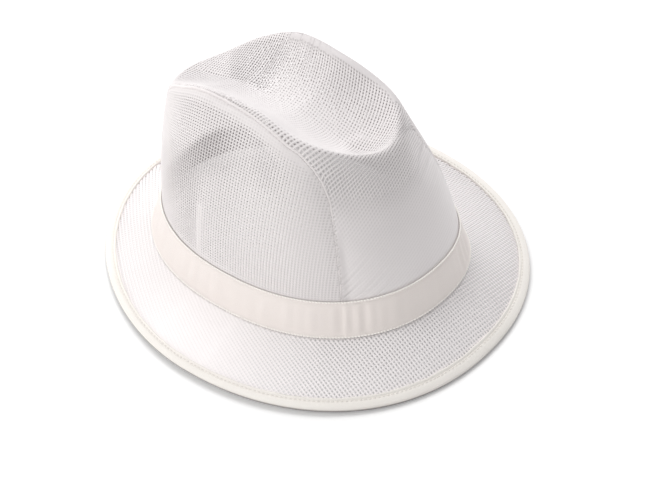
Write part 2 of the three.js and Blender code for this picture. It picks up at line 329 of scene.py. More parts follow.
# Where the net's fill and tone change. Pairs are where a change begins and ends. Fours are
# where it begins, is full, starts to fade and is gone. Angles run round half of the hat,
# and levels run up the crown.
STRIP_START = (0.9, 0.95)
STRIP_END_ROWS = table(
    "angle level",
    (62.0, 1.08),
    (112.0, 1.16),
)
STRIP_FADE = 0.03
CREST_LEVELS = (1.0, 1.06)
CREST_ANGLES = (14.0, 40.0, 110.0, 150.0)
VALLEY_NEAR_LEVELS = (1.5, 2.0)
VALLEY_FAR_LEVELS = (1.35, 2.0)
SEAM_TONE_ANGLES = (FRONT_SEAM - 5.0, FRONT_SEAM - 1.5)
SEAM_TONE_END = FRONT_SEAM + 0.1
SEAM_TONE_LEVELS = (0.3, 0.6)
TIGHT_ANGLES = (36.0, 50.0, 84.0, 100.0)
TIGHT_END_LEVELS = (0.98, 1.04)
TIGHT_END_FILLS = (0.3, 0.8)
DARK_CORNER_ANGLES = (108.0, 122.0, 150.0, 158.0)
DARK_CORNER_LEVELS = (1.1, 1.2)
ARCH_DEPTHS = (-0.02, 0.03, 0.1, 0.34)
ARCH_ANGLES = (58.0, 84.0, 126.0, 138.0)
ARCH_TURN_ANGLES = (88.0, 106.0)
SEAM_LAP_FADE = 1.5
SEAM_LAP_ANGLES = (49.0, 56.0)
SHEER_ANGLES = (103.0, 111.0, 134.0, 146.0)
SHEER_END_LEVELS = (0.45, 0.7)
PLEAT = {"angle": 105.0, "half_width": 0.9}
PLEAT_END_LEVELS = (0.3, 0.36)
HEM_SHUT_LEVELS = (0.0, 0.035)

# Upper edge of the sheer arch on a side panel.
ARCH_ROWS = table(
    "angle top",
    (60.0, 0.7),
    (73.0, 0.81),
    (80.0, 0.85),
    (86.0, 0.89),
    (94.0, 0.86),
    (101.0, 0.81),
    (109.0, 0.71),
    (116.0, 0.6),
    (126.0, 0.46),
    (136.0, 0.34),
)

# The doubled net behind the seams, their folds and their stitches.
SEAM_LAP_WIDTH = 6.5
SEAM_LAP_PITCH = 1.25
SEAM_LAP_DEPTH = 1.25

# The part of the left seam's path, counted in its 0.9 mm steps, that has a lap on top.
TOP_LAP = slice(120, 250)
TOP_LAP_WIDTH = 5.0
SEAM_LAP_FILL = 0.6
SHOULDER_ANGLE = 62.0
SEAM_STEPS = {"up": 90, "shoulder": 40, "top": 120, "down": 100}
SEAM_SPACING = 0.9
SEAM_SMOOTHINGS = 6
SEAM_SINK = {"foot": 0.42, "rise": 0.1}
SEAM_SINK_LEVELS = (0.45, 0.75)
SEAM_FOLD = {"half_width": 0.8, "half_height": 0.4}
SEAM_STITCH = {"inset": 1.2, "sink": 0.1, "spacing": 2.6, "radius": 0.18}

# The cloths' finishes. A patch size is the scale of the noise behind the patches, per metre.
NET_FINISH = {"roughness": 0.62, "patch_size": 22.0, "bump": 0.25}
BAND_FINISH = {"roughness": 0.5, "patch_size": 14.0, "bump": 0.35}
EDGE_FINISH = {"roughness": 0.6, "patch_size": 60.0, "bump": 0.3}
TAPE_FINISH = {"roughness": 0.66, "patch_size": 30.0, "bump": 0.3}
TAPE_FINENESS = 1.1

# The band's rolled edges, its puckers and the place where its ends are joined.
BAND_ROLL = 0.62
BAND_ROLL_INSET = 0.6
BAND_ROLL_POINTS = 7

# Each rolled edge: its share up the band, the turns it runs through and its shift upwards.
BAND_ROLLS = ((1.0, (-60, 180), -BAND_ROLL), (0.0, (180, 420), BAND_ROLL))
BAND_ROWS = 15
BAND_REST = 0.1
RING_COLUMNS = 540
PUCKER_DEPTH = 0.48
PUCKER_SHARE = {"fine": 0.45, "slow": 0.75}
PUCKER_FULLNESS = 0.6
FINE_PUCKERS = {"seed": 11, "waves": 7, "low": 34, "high": 90}
SLOW_PUCKERS = {"seed": 5, "waves": 5, "low": 5, "high": 16}
BAND_JOIN = {"angle": 313.6, "sharpness": 0.25, "reach": 5.0, "rise": 0.45}
BAND_EDGES = table(
    "name share rise out",
    ("top", 1.0, 0.1, 0.05 - 0.65),
    ("foot", 0.0, 0.35, 0.05),
)

# Spacing, length and radius of the stitches along the band's edges.
BAND_EDGE_STITCH = (1.9, 2.3, 0.5)
STITCH_PATH_POINTS = 721

# The tape: how much its inner edge waves, and the heights of its outer and inner faces.
TAPE_WAVE = 0.12
TAPE_WAVES = {"seed": 3, "waves": 6, "low": 20, "high": 60}
TAPE_OUTSIDE = NET_WALL / 2 + GAP + TAPE_WALL
TAPE_INSIDE = (NET_WALL / 2 + GAP / 2) / TAPE_OUTSIDE

# The tape's loop: how far each point lies in from the brim's edge, its height over the net's
# middle as a share of TAPE_OUTSIDE, its share of the fold's wave, and its painted contact shadow.
TAPE_ROWS = table(
    "inset rise wave tone",
    (0.35, -0.3, 0.0, 1.0),
    (0.0, 0.15, 0.0, 0.8),
    (0.12, 0.6, 0.0, 0.1),
    (0.5, 0.88, 0.0, 0.0),
    (1.2, 1.0, 0.0, 0.0),
    (2.8, 1.05, 0.0, 0.0),
    (4.1, 1.0, 0.0, 0.0),
    (4.8, 0.74, 0.0, 0.0),
    (5.25, 0.72, 0.0, 0.0),
    (5.65, 0.98, 0.0, 0.0),
    (6.15, 1.12, 1.0, 0.0),
    (6.65, 1.0, 1.0, 0.0),
    (6.9, 0.6, 1.0, 0.0),
    (6.8, 0.6 * TAPE_INSIDE, 1.0, 0.0),
    (6.8, -0.6 * TAPE_INSIDE, 1.0, 0.2),
    (6.85, -0.5, 1.0, 0.6),
    (6.6, -0.9, 1.0, 0.8),
    (5.0, -0.95, 1.0, 0.9),
)

# The last two points of the loop rest on the floor and get painted contact shadow.
TAPE_FOOT = {"insets": (3.38, 1.3), "tone": 0.9}
TAPE_STITCH = {"inset": 5.0, "share": 0.8, "rise": 0.62, "spacing": 2.7, "radius": 0.4}

# The camera, as fitted to the photograph's outlines: angles in degrees, distance in
# millimetres, focal length in the picture's pixels, and the picture's shift in pixels.
CAMERA = {"azimuth": -50.3, "elevation": 43.85, "roll": -1.07, "distance": 1339.0}
CAMERA_TARGET = (0.0, 1.2, 61.8)
PICTURE_WIDTH = 647
PICTURE_FOCAL = 2260.0
PICTURE_SHIFT = {"right": -16.0, "down": -71.8}
SENSOR_WIDTH = 36.0
CAMERA_CLIPS = (0.05, 50.0)

# The two soft lights, with their places in metres.
LIGHT_DISTANCE = 1.6
LIGHT_SIZE = 1.5
KEY_LIGHT = {"direction": (0.38, 0.36, 0.85), "colour": (1.0, 1.0, 1.0)}
SIDE_LIGHT = {"direction": (-0.95, 0.38, 0.42), "colour": (1.0, 0.99, 0.97)}
FLOOR_HALF_WIDTH = 4.0
FLOOR_ROUGHNESS = 0.9
FLOOR_SPECULAR = 0.2


def half_angle(angle):
    """The angle folded onto one half of the hat, from 0 at the front to 180 at the back."""
    turned = np.mod(angle, 360.0)
    return np.minimum(turned, 360.0 - turned)


def on_right(angle):
    """Whether an angle lies on the wearer's right."""
    return np.mod(angle, 360.0) > 180.0


def look_up(rows, along, column, value):
    """One column's value where another has a value, straight between the table's rows."""
    return np.interp(value, [row[along] for row in rows], [row[column] for row in rows])


def table_value(rows, column, angle):
    """A column's value at an angle, the same on both halves of the hat."""
    return look_up(rows, "angle", column, half_angle(angle))


def smooth_step(low, high, value):
    """A smooth rise from 0 at low to 1 at high."""
    share = np.clip((value - low) / (high - low), 0.0, 1.0)
    return share * share * (3 - 2 * share)


def plateau(bounds, value):
    """A smooth rise to 1 between the first two bounds, and a fall back to 0 between the last two."""
    low, full, fading, gone = bounds
    return smooth_step(low, full, value) * (1 - smooth_step(fading, gone, value))


def stack(x, y, z):
    """Three arrays of coordinates as one array of points."""
    return np.stack(np.broadcast_arrays(x, y, z), axis=-1)


def unit(vectors):
    """The same directions at a length of one."""
    return vectors / np.maximum(np.linalg.norm(vectors, axis=-1, keepdims=True), 1e-9)


def oval(angle, half_length, half_width, roundness, centre_x, centre_y):
    """A point of an oval whose corners are fuller than an ellipse's past a roundness of 2."""
    across, along = np.sin(np.radians(angle)), np.cos(np.radians(angle))
    x = centre_x + np.sign(across) * np.abs(across) ** (2 / roundness) * half_width
    y = centre_y - np.sign(along) * np.abs(along) ** (2 / roundness) * half_length
    return x, y


def join_height(angle):
    """Height of the line where the band meets the brim."""
    turn = np.radians(angle)
    rise = JOIN_HEIGHT["front_rise"] * np.cos(turn)
    return JOIN_HEIGHT["mean"] + rise - JOIN_HEIGHT["side_dip"] * np.sin(turn) ** 2


def band_face(angle, share, inset=0.0):
    """The band's outer face: share 0 is its lower edge and 1 its upper edge."""
    half_length = JOIN["half_length"] - BAND["lean_length"] * share - inset
    half_width = JOIN["half_width"] - BAND["lean_width"] * share - inset
    x, y = oval(angle, half_length, half_width, JOIN["roundness"], JOIN["x"], JOIN["y"])
    return stack(x, y, join_height(angle) + BAND["height"] * share)


def brim_edge(angle):
    """The brim's outer edge in plan."""
    in_front = np.cos(np.radians(angle)) > 0
    half_length = np.where(in_front, BRIM["front_length"], BRIM["back_length"])
    roundness = np.where(in_front, BRIM["front_roundness"], BRIM["back_roundness"])
    return oval(angle, half_length, BRIM["half_width"], roundness, 0.0, BRIM_CENTRE_Y)


def brim_lift(angle):
    """How far the brim's edge stands clear of the floor."""
    flat = math.sin(math.radians(FLAT_HALF_ANGLE)) ** 2
    risen = np.maximum(0.0, np.sin(np.radians(angle)) ** 2 - flat)
    return BRIM_SIDE_LIFT * risen / (1 - flat)


def brim_face(angle, share):
    """The brim's upper face: share 0 is the join and 1 the outer edge of the tape."""
    inner = band_face(angle, 0.0, BAND_WALL)
    edge_x, edge_y = brim_edge(angle)
    edge_z = brim_lift(angle) + NET_WALL + GAP + TAPE_WALL
    x = inner[..., 0] + (edge_x - inner[..., 0]) * share
    y = inner[..., 1] + (edge_y - inner[..., 1]) * share
    z = (inner[..., 2] - GAP) + (edge_z - inner[..., 2] + GAP) * share
    return stack(x, y, z)


def share_from_edge(angle, distance):
    """How far along the brim, as a share of its reach, a distance in from the edge lies."""
    inner = band_face(angle, 0.0, BAND_WALL)
    edge_x, edge_y = brim_edge(angle)
    return 1 - distance / np.hypot(edge_x - inner[..., 0], edge_y - inner[..., 1])


def ridge_corners():
    """The ridge's points all round, from its half table and its lean."""
    right = RIDGE_ROWS[-2:0:-1]
    rows = [(row["x"], row) for row in RIDGE_ROWS] + [(-row["x"], row) for row in right]
    return np.array([[JOIN["x"] + x, r["y"], r["z"] - RIDGE_LEAN * x] for x, r in rows])


RIDGE_CORNERS = ridge_corners()


def ridge_point(angle):
    """A smooth closed curve through the ridge's points, evenly spaced in angle."""
    count = len(RIDGE_CORNERS)
    along = np.mod(angle, 360.0) / 360.0 * count
    first = np.floor(along).astype(int)
    share = (along - first)[..., None]
    before, start, end, after = (RIDGE_CORNERS[(first + step) % count] for step in (-1, 0, 1, 2))
    leaving, arriving = (end - before) / 2, (after - start) / 2
    square = 3 * (end - start) - 2 * leaving - arriving
    cube = 2 * (start - end) + leaving + arriving
    return start + share * (leaving + share * (square + share * cube))


def sharp_crown_point(angle, level):
    """The crown before its ridge is rounded: -1 to 0 is behind the band, 1 the ridge, 2 the valley."""
    inset = BAND_WALL + GAP
    skirt = band_face(angle, 1 + np.minimum(level, 0.0), inset)
    ridge = ridge_point(angle)
    turn = np.radians(angle)
    end = np.where(np.cos(turn) > 0, WALL_FULLNESS["front"], WALL_FULLNESS["back"])
    fullness = end + (WALL_FULLNESS["side"] - end) * np.sin(turn) ** 2
    rise = np.clip(level, 0.0, 1.0)
    inward = (rise**fullness)[..., None]
    plan = skirt + (ridge - skirt) * inward
    wall = stack(plan[..., 0], plan[..., 1], skirt[..., 2] + (ridge[..., 2] - skirt[..., 2]) * rise)
    sink = np.clip(level - 1, 0.0, 1.0)
    valley_y = table_value(VALLEY_ROWS, "y", angle)
    valley_z = table_value(VALLEY_ROWS, "z", angle)
    sunk = 1 - (1 - sink) ** DISH_FULLNESS
    dish = stack(
        ridge[..., 0] + (JOIN["x"] - ridge[..., 0]) * sink,
        ridge[..., 1] + (valley_y - ridge[..., 1]) * sink,
        ridge[..., 2] + (valley_z - ridge[..., 2]) * sunk,
    )
    return np.where((level > 1)[..., None], dish, wall)


def crown_point(angle, level):
    """The crown's outer face: the sharp section averaged over a short reach, then pinched."""
    angle, level = np.broadcast_arrays(np.asarray(angle, float), np.asarray(level, float))
    reach = np.clip(np.minimum(level, 2 - level), 0.0, RIDGE_ROUNDING)
    steps = range(-SMOOTHING_STEPS, SMOOTHING_STEPS + 1)
    point = sum(sharp_crown_point(angle, level + reach * s / SMOOTHING_STEPS) for s in steps)
    point = point / len(steps)
    inward = unit(stack(JOIN["x"] - point[..., 0], JOIN["y"] - point[..., 1], 0.0))
    across = (half_angle(angle) - PINCH["angle"]) / PINCH["spread"]
    along = (level - PINCH["height"]) / PINCH["height_spread"]
    depth = PINCH["depth"] * np.exp(-(across**2) - along**2)
    return point + inward * np.where(level > 0, depth, 0.0)[..., None]


def outward_of(point_at, u, v, step_u, step_v):
    """Unit normals of a surface, from short steps along its two coordinates."""
    along = point_at(u + step_u, v) - point_at(u - step_u, v)
    up = point_at(u, v + step_v) - point_at(u, v - step_v)
    return unit(np.cross(along, up))


def band_normal(angle, share):
    """The band's outward direction."""
    return outward_of(band_face, angle, share, *CLOTH_STEPS)


def crown_normal(angle, level):
    """The crown's outward direction."""
    return outward_of(crown_point, angle, np.clip(level, *NORMAL_LEVELS), *CROWN_STEPS)


def brim_normal(angle, share):
    """The brim's upward direction."""
    normal = outward_of(brim_face, angle, share, *CLOTH_STEPS)
    return np.where(normal[..., 2:] < 0, -normal, normal)


class Skin:
    """A dense copy of a surface that rays can find, with the coordinates of each hit."""

    def __init__(self, us, vs, point_at):
        self.us, self.vs = us, vs
        self.points = point_at(us[:, None], vs[None, :])
        rows, columns = len(us), len(vs)
        corner = np.arange(rows * columns).reshape(rows, columns)
        quads = np.stack([corner[:-1, :-1], corner[1:, :-1], corner[1:, 1:], corner[:-1, 1:]], -1)
        self.tree = BVHTree.FromPolygons(
            self.points.reshape(-1, 3).tolist(), quads.reshape(-1, 4).tolist()
        )

    def find(self, starts, directions):
        """The surface coordinates where each ray meets the surface, and whether it does."""
        flat_starts, flat_directions = starts.reshape(-1, 3), directions.reshape(-1, 3)
        rays = zip(flat_starts.tolist(), flat_directions.tolist())
        hits = [self.tree.ray_cast(start, direction) for start, direction in rays]
        met = np.array([hit[0] is not None for hit in hits])
        place = np.array([hit[0] if hit[0] is not None else (0.0, 0.0, 0.0) for hit in hits])
        face = np.array([hit[2] if hit[2] is not None else 0 for hit in hits])
        u, v = self.coordinates(place, face)
        shape = starts.shape[:-1]
        return u.reshape(shape), v.reshape(shape), met.reshape(shape)

    def nearest(self, points):
        """The surface coordinates of the places nearest to some points, and the places."""
        hits = [self.tree.find_nearest(point) for point in points.reshape(-1, 3).tolist()]
        place = np.array([hit[0] for hit in hits])
        u, v = self.coordinates(place, np.array([hit[2] for hit in hits]))
        shape = points.shape[:-1]
        return u.reshape(shape), v.reshape(shape), place.reshape(points.shape)

    def coordinates(self, place, face):
        """The surface coordinates of places on known faces."""
        row, column = np.divmod(face, len(self.vs) - 1)
        origin = self.points[row, column]
        values = []
        for axis, lines, step in ((0, self.us, (1, 0)), (1, self.vs, (0, 1))):
            side = self.points[row + step[0], column + step[1]] - origin
            length = np.maximum((side**2).sum(-1), 1e-9)
            share = np.clip(((place - origin) * side).sum(-1) / length, 0.0, 1.0)
            index = (row, column)[axis]
            values.append(lines[index] + (lines[index + 1] - lines[index]) * share)
        return values


def lengths_along(points):
    """Running length along the last-but-one axis of an array of points."""
    steps = np.linalg.norm(np.diff(points, axis=-2), axis=-1)
    return np.concatenate([np.zeros(steps.shape[:-1] + (1,)), np.cumsum(steps, axis=-1)], axis=-1)


def run_of(path):
    """Running length along one path."""
    return lengths_along(path[None])[0]


def resample(places, run, points):
    """The points of a path at some of its running lengths."""
    return np.stack([np.interp(places, run, points[:, axis]) for axis in range(3)], axis=-1)


def mark_rims(mesh, rims):
    """Keeps the light from blending round the rims of a net's holes."""
    ends = np.zeros(len(mesh.edges) * 2, np.int32)
    mesh.edges.foreach_get("vertices", ends)
    sharp = rims[ends.reshape(-1, 2)].all(axis=1)
    mesh.attributes.new("sharp_edge", "BOOLEAN", "EDGE").data.foreach_set("value", sharp)


def mesh_piece(name, points, faces, material, slot, cloth_map=None, tone=None, rims=None):
    """Makes a smooth mesh object from points in millimetres and gives it its material. The slot is not
    used.
    """
    mesh = bpy.data.meshes.new(name)
    mesh.from_pydata((points * MM).tolist(), [], faces)
    mesh.shade_smooth()
    if cloth_map is not None:
        layer = mesh.uv_layers.new(name="cloth")
        corners = np.zeros(len(mesh.loops), np.int32)
        mesh.loops.foreach_get("vertex_index", corners)
        layer.data.foreach_set("uv", (cloth_map * MM)[corners].ravel().astype(np.float32))
    if tone is not None:
        mesh.attributes.new("tone", "FLOAT", "POINT").data.foreach_set("value", tone)
    if rims is not None:
        mark_rims(mesh, rims)
    mesh.materials.append(material)
    piece = bpy.data.objects.new(name, mesh)
    bpy.context.scene.collection.objects.link(piece)
    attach(piece, BODY)
    return piece


def net_mesh(nodes, normals, kept, node_fill, node_tone, rib, thread):
    """Points, triangles, painted-shade tones and hole rims of a net.

    Ribs run along the grids' second axis and threads along the first. nodes and normals are
    grids of crossings, and kept says which cells are there. node_fill says how far the holes
    by each crossing are shut, and node_tone how much painted shade a crossing gets, or below 0
    how much painted light takes painted shade off its hollows and threads. rib and thread hold
    the half width, as a share of a cell, the height over the middle surface, and how strongly
    the painted shade acts on them.
    """
    rows, columns = kept.shape
    size = (rows + 1) * (columns + 1)
    fill = cell_centres(node_fill)
    shut = fill > OPEN_FILL
    narrowed = np.minimum(fill, OPEN_FILL)
    fading = 1 - np.clip((fill - OPEN_FILL) / (1 - OPEN_FILL), 0.0, 1.0)
    pit = (SHUT_PIT * fading + SHUT_DIMPLE)[..., None]
    # Negative node tones are painted light: they take painted shade off the hollows and threads.
    painted_light = np.minimum(node_tone, 0.0)
    node_tone = np.maximum(node_tone, 0.0)
    cell_tone = look_up(PAINTED_SHADE_ROWS, "fill", "hollow", fill) * rib["tone"] + cell_centres(painted_light)
    cell_tone = np.maximum(cell_tone, cell_centres(node_tone))
    thread_tone = look_up(PAINTED_SHADE_ROWS, "fill", "thread", node_fill) * thread["tone"]
    thread_tone = np.maximum(thread_tone + painted_light, node_tone)
    rib_width = rib["half_width"] + (CLOSED_HALF_WIDTH - rib["half_width"]) * narrowed
    thread_width = thread["half_width"] + (CLOSED_HALF_WIDTH - thread["half_width"]) * narrowed
    rib_width, thread_width = rib_width[..., None], thread_width[..., None]
    crossing = np.arange(size).reshape(rows + 1, columns + 1)
    middle = crossing[:-1] + 2 * size
    cells = rows * columns
    hole = 4 * size + 4 * np.arange(cells).reshape(rows, columns)
    centre = 4 * size + 4 * cells + np.arange(cells).reshape(rows, columns)
    centre_points, centre_normals = cell_centres(nodes), cell_centres(normals)
    between = (nodes[:-1] + nodes[1:]) / 2
    between_normal = (normals[:-1] + normals[1:]) / 2
    padded = np.zeros_like(nodes)
    padded_normal = np.zeros_like(nodes)
    padded[:-1], padded_normal[:-1] = between, between_normal
    # a to d are a cell's corners, and s and t say how far along its two sides a corner of
    # its hole lies.
    a, b, c, d = nodes[:-1, :-1], nodes[:-1, 1:], nodes[1:, 1:], nodes[1:, :-1]
    corners = []
    for p, q in ((0, 0), (0, 1), (1, 1), (1, 0)):
        s = rib_width if p == 0 else 1 - rib_width
        t = thread_width if q == 0 else 1 - thread_width
        corners.append(a * (1 - s) * (1 - t) + b * (1 - s) * t + c * s * t + d * s * (1 - t))
    flatness = 1 - CLOSED_FLATTENING * node_fill[..., None]
    rise = normals * rib["height"] * flatness
    thread_rise = padded_normal * thread["height"] * flatness
    points = np.concatenate(
        [
            (nodes + rise).reshape(-1, 3),
            (nodes - rise).reshape(-1, 3),
            (padded + thread_rise).reshape(-1, 3),
            (padded - thread_rise).reshape(-1, 3),
            np.stack(corners, axis=2).reshape(-1, 3),
            (centre_points - centre_normals * pit).reshape(-1, 3),
            (centre_points - centre_normals * (pit + SHUT_THICKNESS)).reshape(-1, 3),
        ]
    )
    # Each name below is a kind of point and a corner: n a crossing, m the middle of a thread,
    # h the rim of a hole, and a to d the cell's corners in turn.
    faces = []
    for side, order in ((0, 1), (size, -1)):
        na, nb = crossing[:-1, :-1] + side, crossing[:-1, 1:] + side
        nc, nd = crossing[1:, 1:] + side, crossing[1:, :-1] + side
        ma, mb = middle[:, :-1] + side, middle[:, 1:] + side
        ha, hb, hc, hd = hole, hole + 1, hole + 2, hole + 3
        triangles = [
            (na, nb, hb), (na, hb, ha), (nc, nd, hd), (nc, hd, hc),
            (na, ha, ma), (ma, ha, hd), (ma, hd, nd),
            (nb, mb, hb), (mb, hc, hb), (mb, nc, hc),
        ]
        for triangle in triangles:
            faces.append(np.stack(triangle[::order], axis=-1)[kept & ~shut])
        middle_point = centre + (cells if side else 0)
        rim = [na, nb, mb, nc, nd, ma]
        for start, end in zip(rim, rim[1:] + rim[:1]):
            triangle = (start, end, middle_point)
            faces.append(np.stack(triangle[::order], axis=-1)[kept & shut])
    framed = np.pad(kept, 1)
    inside = framed[1:-1, 1:-1]
    edges = [
        (inside & ~framed[:-2, 1:-1], [crossing[:-1, :-1], crossing[:-1, 1:]]),
        (inside & ~framed[2:, 1:-1], [crossing[1:, 1:], crossing[1:, :-1]]),
        (inside & ~framed[1:-1, :-2], [crossing[1:, :-1], middle[:, :-1], crossing[:-1, :-1]]),
        (inside & ~framed[1:-1, 2:], [crossing[:-1, 1:], middle[:, 1:], crossing[1:, 1:]]),
    ]
    for open_cells, line in edges:
        for start, end in zip(line, line[1:]):
            faces.append(np.stack([end, start, start + size], axis=-1)[open_cells])
            faces.append(np.stack([end, start + size, end + size], axis=-1)[open_cells])
    tones = [node_tone, node_tone, thread_tone, thread_tone, np.repeat(cell_tone, 4), cell_tone]
    tones = np.concatenate([part.ravel() for part in tones + [cell_tone]])
    numbers = np.arange(len(points))
    rims = (numbers >= 4 * size) & (numbers < 4 * size + 4 * cells)
    faces = np.concatenate(faces)
    used = np.unique(faces)
    renumbered = np.zeros(len(points), np.int64)
    renumbered[used] = np.arange(len(used))
    return points[used], renumbered[faces], tones[used], rims[used]


def border_nodes(kept):
    """The crossings that touch both a kept cell and a missing one."""
    framed = np.pad(kept, 1)
    around = [framed[:-1, :-1], framed[:-1, 1:], framed[1:, :-1], framed[1:, 1:]]
    touching = sum(part.astype(int) for part in around)
    return (touching > 0) & (touching < 4)


def cell_centres(values):
    """The mean of each cell's four corners."""
    return (values[:-1, :-1] + values[1:, :-1] + values[:-1, 1:] + values[1:, 1:]) / 4


def all_met(met):
    """The cells whose four corners all lie on the surface."""
    return cell_centres(met.astype(float)) > 0.99


def snap_to_seams(angle, level, kept):
    """Moves a panel's border crossings onto its nearest seam or hem, so that its edge is clean."""
    border = border_nodes(kept)
    half = half_angle(angle)
    side = np.where(np.mod(angle, 360.0) < 180.0, 1.0, -1.0)
    seam = table_value(SEAM_ROWS, "height", angle)
    on_wall = level < seam + SEAM_MARGIN_LEVEL
    in_front = half < FRONT_SEAM - SEAM_MARGIN_ANGLE
    far = 1e6
    distances = np.stack(
        [
            np.abs(level - seam) * WALL_LENGTH + np.where(in_front, far, 0),
            np.abs(half - FRONT_SEAM) * DEGREE_LENGTH + np.where(on_wall, 0, far),
            np.abs(half - BACK_SEAM) * DEGREE_LENGTH + np.where(on_wall, 0, far),
            np.abs(level - HEM_LEVEL) * BAND["height"],
        ]
    )
    nearest = distances.argmin(axis=0)
    new_half = np.where(nearest == 1, FRONT_SEAM, np.where(nearest == 2, BACK_SEAM, half))
    new_level = np.where(nearest == 0, seam, np.where(nearest == 3, HEM_LEVEL, level))
    for corner_half, corner_level in SEAM_CORNERS:
        across = (half - corner_half) * DEGREE_LENGTH
        off = np.hypot(across, (level - corner_level) * WALL_LENGTH)
        for turn in (1.0, -1.0):
            at_side = np.where(border & (side == turn), off, far)
            place = np.unravel_index(at_side.argmin(), off.shape)
            if at_side[place] < CORNER_REACH:
                new_half[place], new_level[place] = corner_half, corner_level
    return np.where(border, side * new_half, angle), np.where(border, new_level, level)


def relax(points, met, skin, pitch):
    """Evens out a lattice on a surface, as if each thread between crossings were a spring."""
    points = points.copy()
    moving = met.copy()
    for _ in range(RELAX_ROUNDS):
        force = np.zeros_like(points)
        for axis in (0, 1):
            start = [slice(None)] * 2
            end = [slice(None)] * 2
            start[axis], end[axis] = slice(None, -1), slice(1, None)
            start, end = tuple(start), tuple(end)
            reach = points[end] - points[start]
            length = np.maximum(np.linalg.norm(reach, axis=-1, keepdims=True), 1e-6)
            held = (met[start] & met[end])[..., None]
            pull = np.where(held, reach * (1 - pitch / length), 0.0)
            force[start] += pull
            force[end] -= pull
        points[moving] = skin.nearest(points[moving] + force[moving] * RELAX_STEP)[2]
    angle, level, _ = skin.nearest(points)
    return angle, level


def fan_rays(turn, x):
    """Start and direction of the ray at a place along the strip, -1 to 0 and 1 to 2 being the fans."""
    front = np.clip(-turn, 0.0, FAN_MOST) * math.radians(FRONT_FAN_REACH)
    back = np.clip(turn - 1, 0.0, FAN_MOST) * math.radians(BACK_FAN_REACH)
    lean = back - front
    share = np.clip(turn, 0.0, 1.0)
    start_y = FRONT_FAN["y"] + (BACK_FAN["y"] - FRONT_FAN["y"]) * share
    start_z = FRONT_FAN["z"] + (BACK_FAN["z"] - FRONT_FAN["z"]) * share
    return stack(x, start_y, start_z), stack(np.zeros_like(x), np.sin(lean), np.cos(lean))


def crown_skin():
    """The crown's outer face as a surface that rays can find."""
    angles = np.arange(0.0, 361.0, SKIN_ANGLE_STEP)
    return Skin(angles, np.linspace(-1.0, 2.0, SKIN_LEVELS), crown_point)


def centre_panel_net(pitch):
    """Crossings and kept cells of the strip from the front, over the top, to the back."""
    skin = crown_skin()
    turns = np.linspace(-1.0, 2.0, STRIP_SAMPLES)
    angle, level, met = skin.find(*fan_rays(turns, np.full_like(turns, JOIN["x"])))
    turns = turns[met]
    along = lengths_along(crown_point(angle[met], level[met]))
    xs = np.linspace(*STRIP_SIDES, STRIP_COLUMNS)
    half_count = int(STRIP_HALF_WIDTH / pitch)
    places = np.arange(-half_count, half_count + 1) * pitch
    rows = np.arange(-STRIP_OVERRUN, along[-1] + STRIP_OVERRUN, pitch)
    bend = look_up(BEND_ROWS, "along", "bend", rows)[:, None]
    skew = look_up(BEND_ROWS, "along", "skew", rows)[:, None]

    def turn_at(x):
        aside = x - JOIN["x"]
        spread = np.minimum((aside / BEND_HALF_WIDTH) ** 2, BEND_MOST)
        place = rows[:, None] + bend * spread + skew * aside
        beyond = np.minimum(place, 0.0) + np.maximum(place - along[-1], 0.0)
        return np.interp(place, along, turns) + beyond * TURN_PER_MM

    x = np.broadcast_to(xs, (len(rows), len(xs)))
    angle, level, met = skin.find(*fan_rays(turn_at(x), x))
    across = lengths_along(crown_point(angle, level))
    middle = np.array([np.interp(JOIN["x"], xs, line) for line in across])
    lattice_x = np.array([np.interp(places, line - zero, xs) for line, zero in zip(across, middle)])
    angle, level, met = skin.find(*fan_rays(turn_at(lattice_x), lattice_x))
    angle, level = relax(crown_point(angle, level), met, skin, pitch)
    radians = np.radians(angle)
    half = np.degrees(
        np.arctan2(np.abs(cell_centres(np.sin(radians))), cell_centres(np.cos(radians)))
    )
    mid_level = cell_centres(level)
    seam = table_value(SEAM_ROWS, "height", half)
    inside = (half < FRONT_SEAM) | (half > BACK_SEAM) | (mid_level > seam)
    kept = inside & (mid_level > HEM_LEVEL) & all_met(met)
    angle, level = snap_to_seams(angle, level, kept)
    return angle, level, kept


def side_panel_net(side, pitch):
    """Crossings and kept cells of one arched side panel: side is 1 on the left, -1 on the right."""
    middle = (FRONT_SEAM + BACK_SEAM) / 2
    levels = np.linspace(-1.0, SIDE_TOP_LEVEL, SIDE_SAMPLES)
    up = lengths_along(crown_point(side * middle, levels))
    rows = np.interp(np.arange(0.0, up[-1], pitch), up, levels)
    angles = np.arange(*SIDE_ANGLES, SIDE_ANGLE_STEP)
    around = lengths_along(crown_point(side * angles[None, :], rows[:, None]))
    zero = np.array([np.interp(middle, angles, line) for line in around])
    half_count = int(SIDE_HALF_WIDTH / pitch)
    places = np.arange(-half_count, half_count + 1) * pitch
    half = np.array([np.interp(places, line - start, angles) for line, start in zip(around, zero)])
    level = np.broadcast_to(rows[:, None], half.shape)
    mid_half, mid_level = cell_centres(half), cell_centres(level)
    seam = table_value(SEAM_ROWS, "height", mid_half)
    kept = (mid_half > FRONT_SEAM) & (mid_half < BACK_SEAM) & (mid_level < seam)
    kept &= mid_level > HEM_LEVEL
    angle, level = snap_to_seams(side * half, level, kept)
    return angle, level, kept


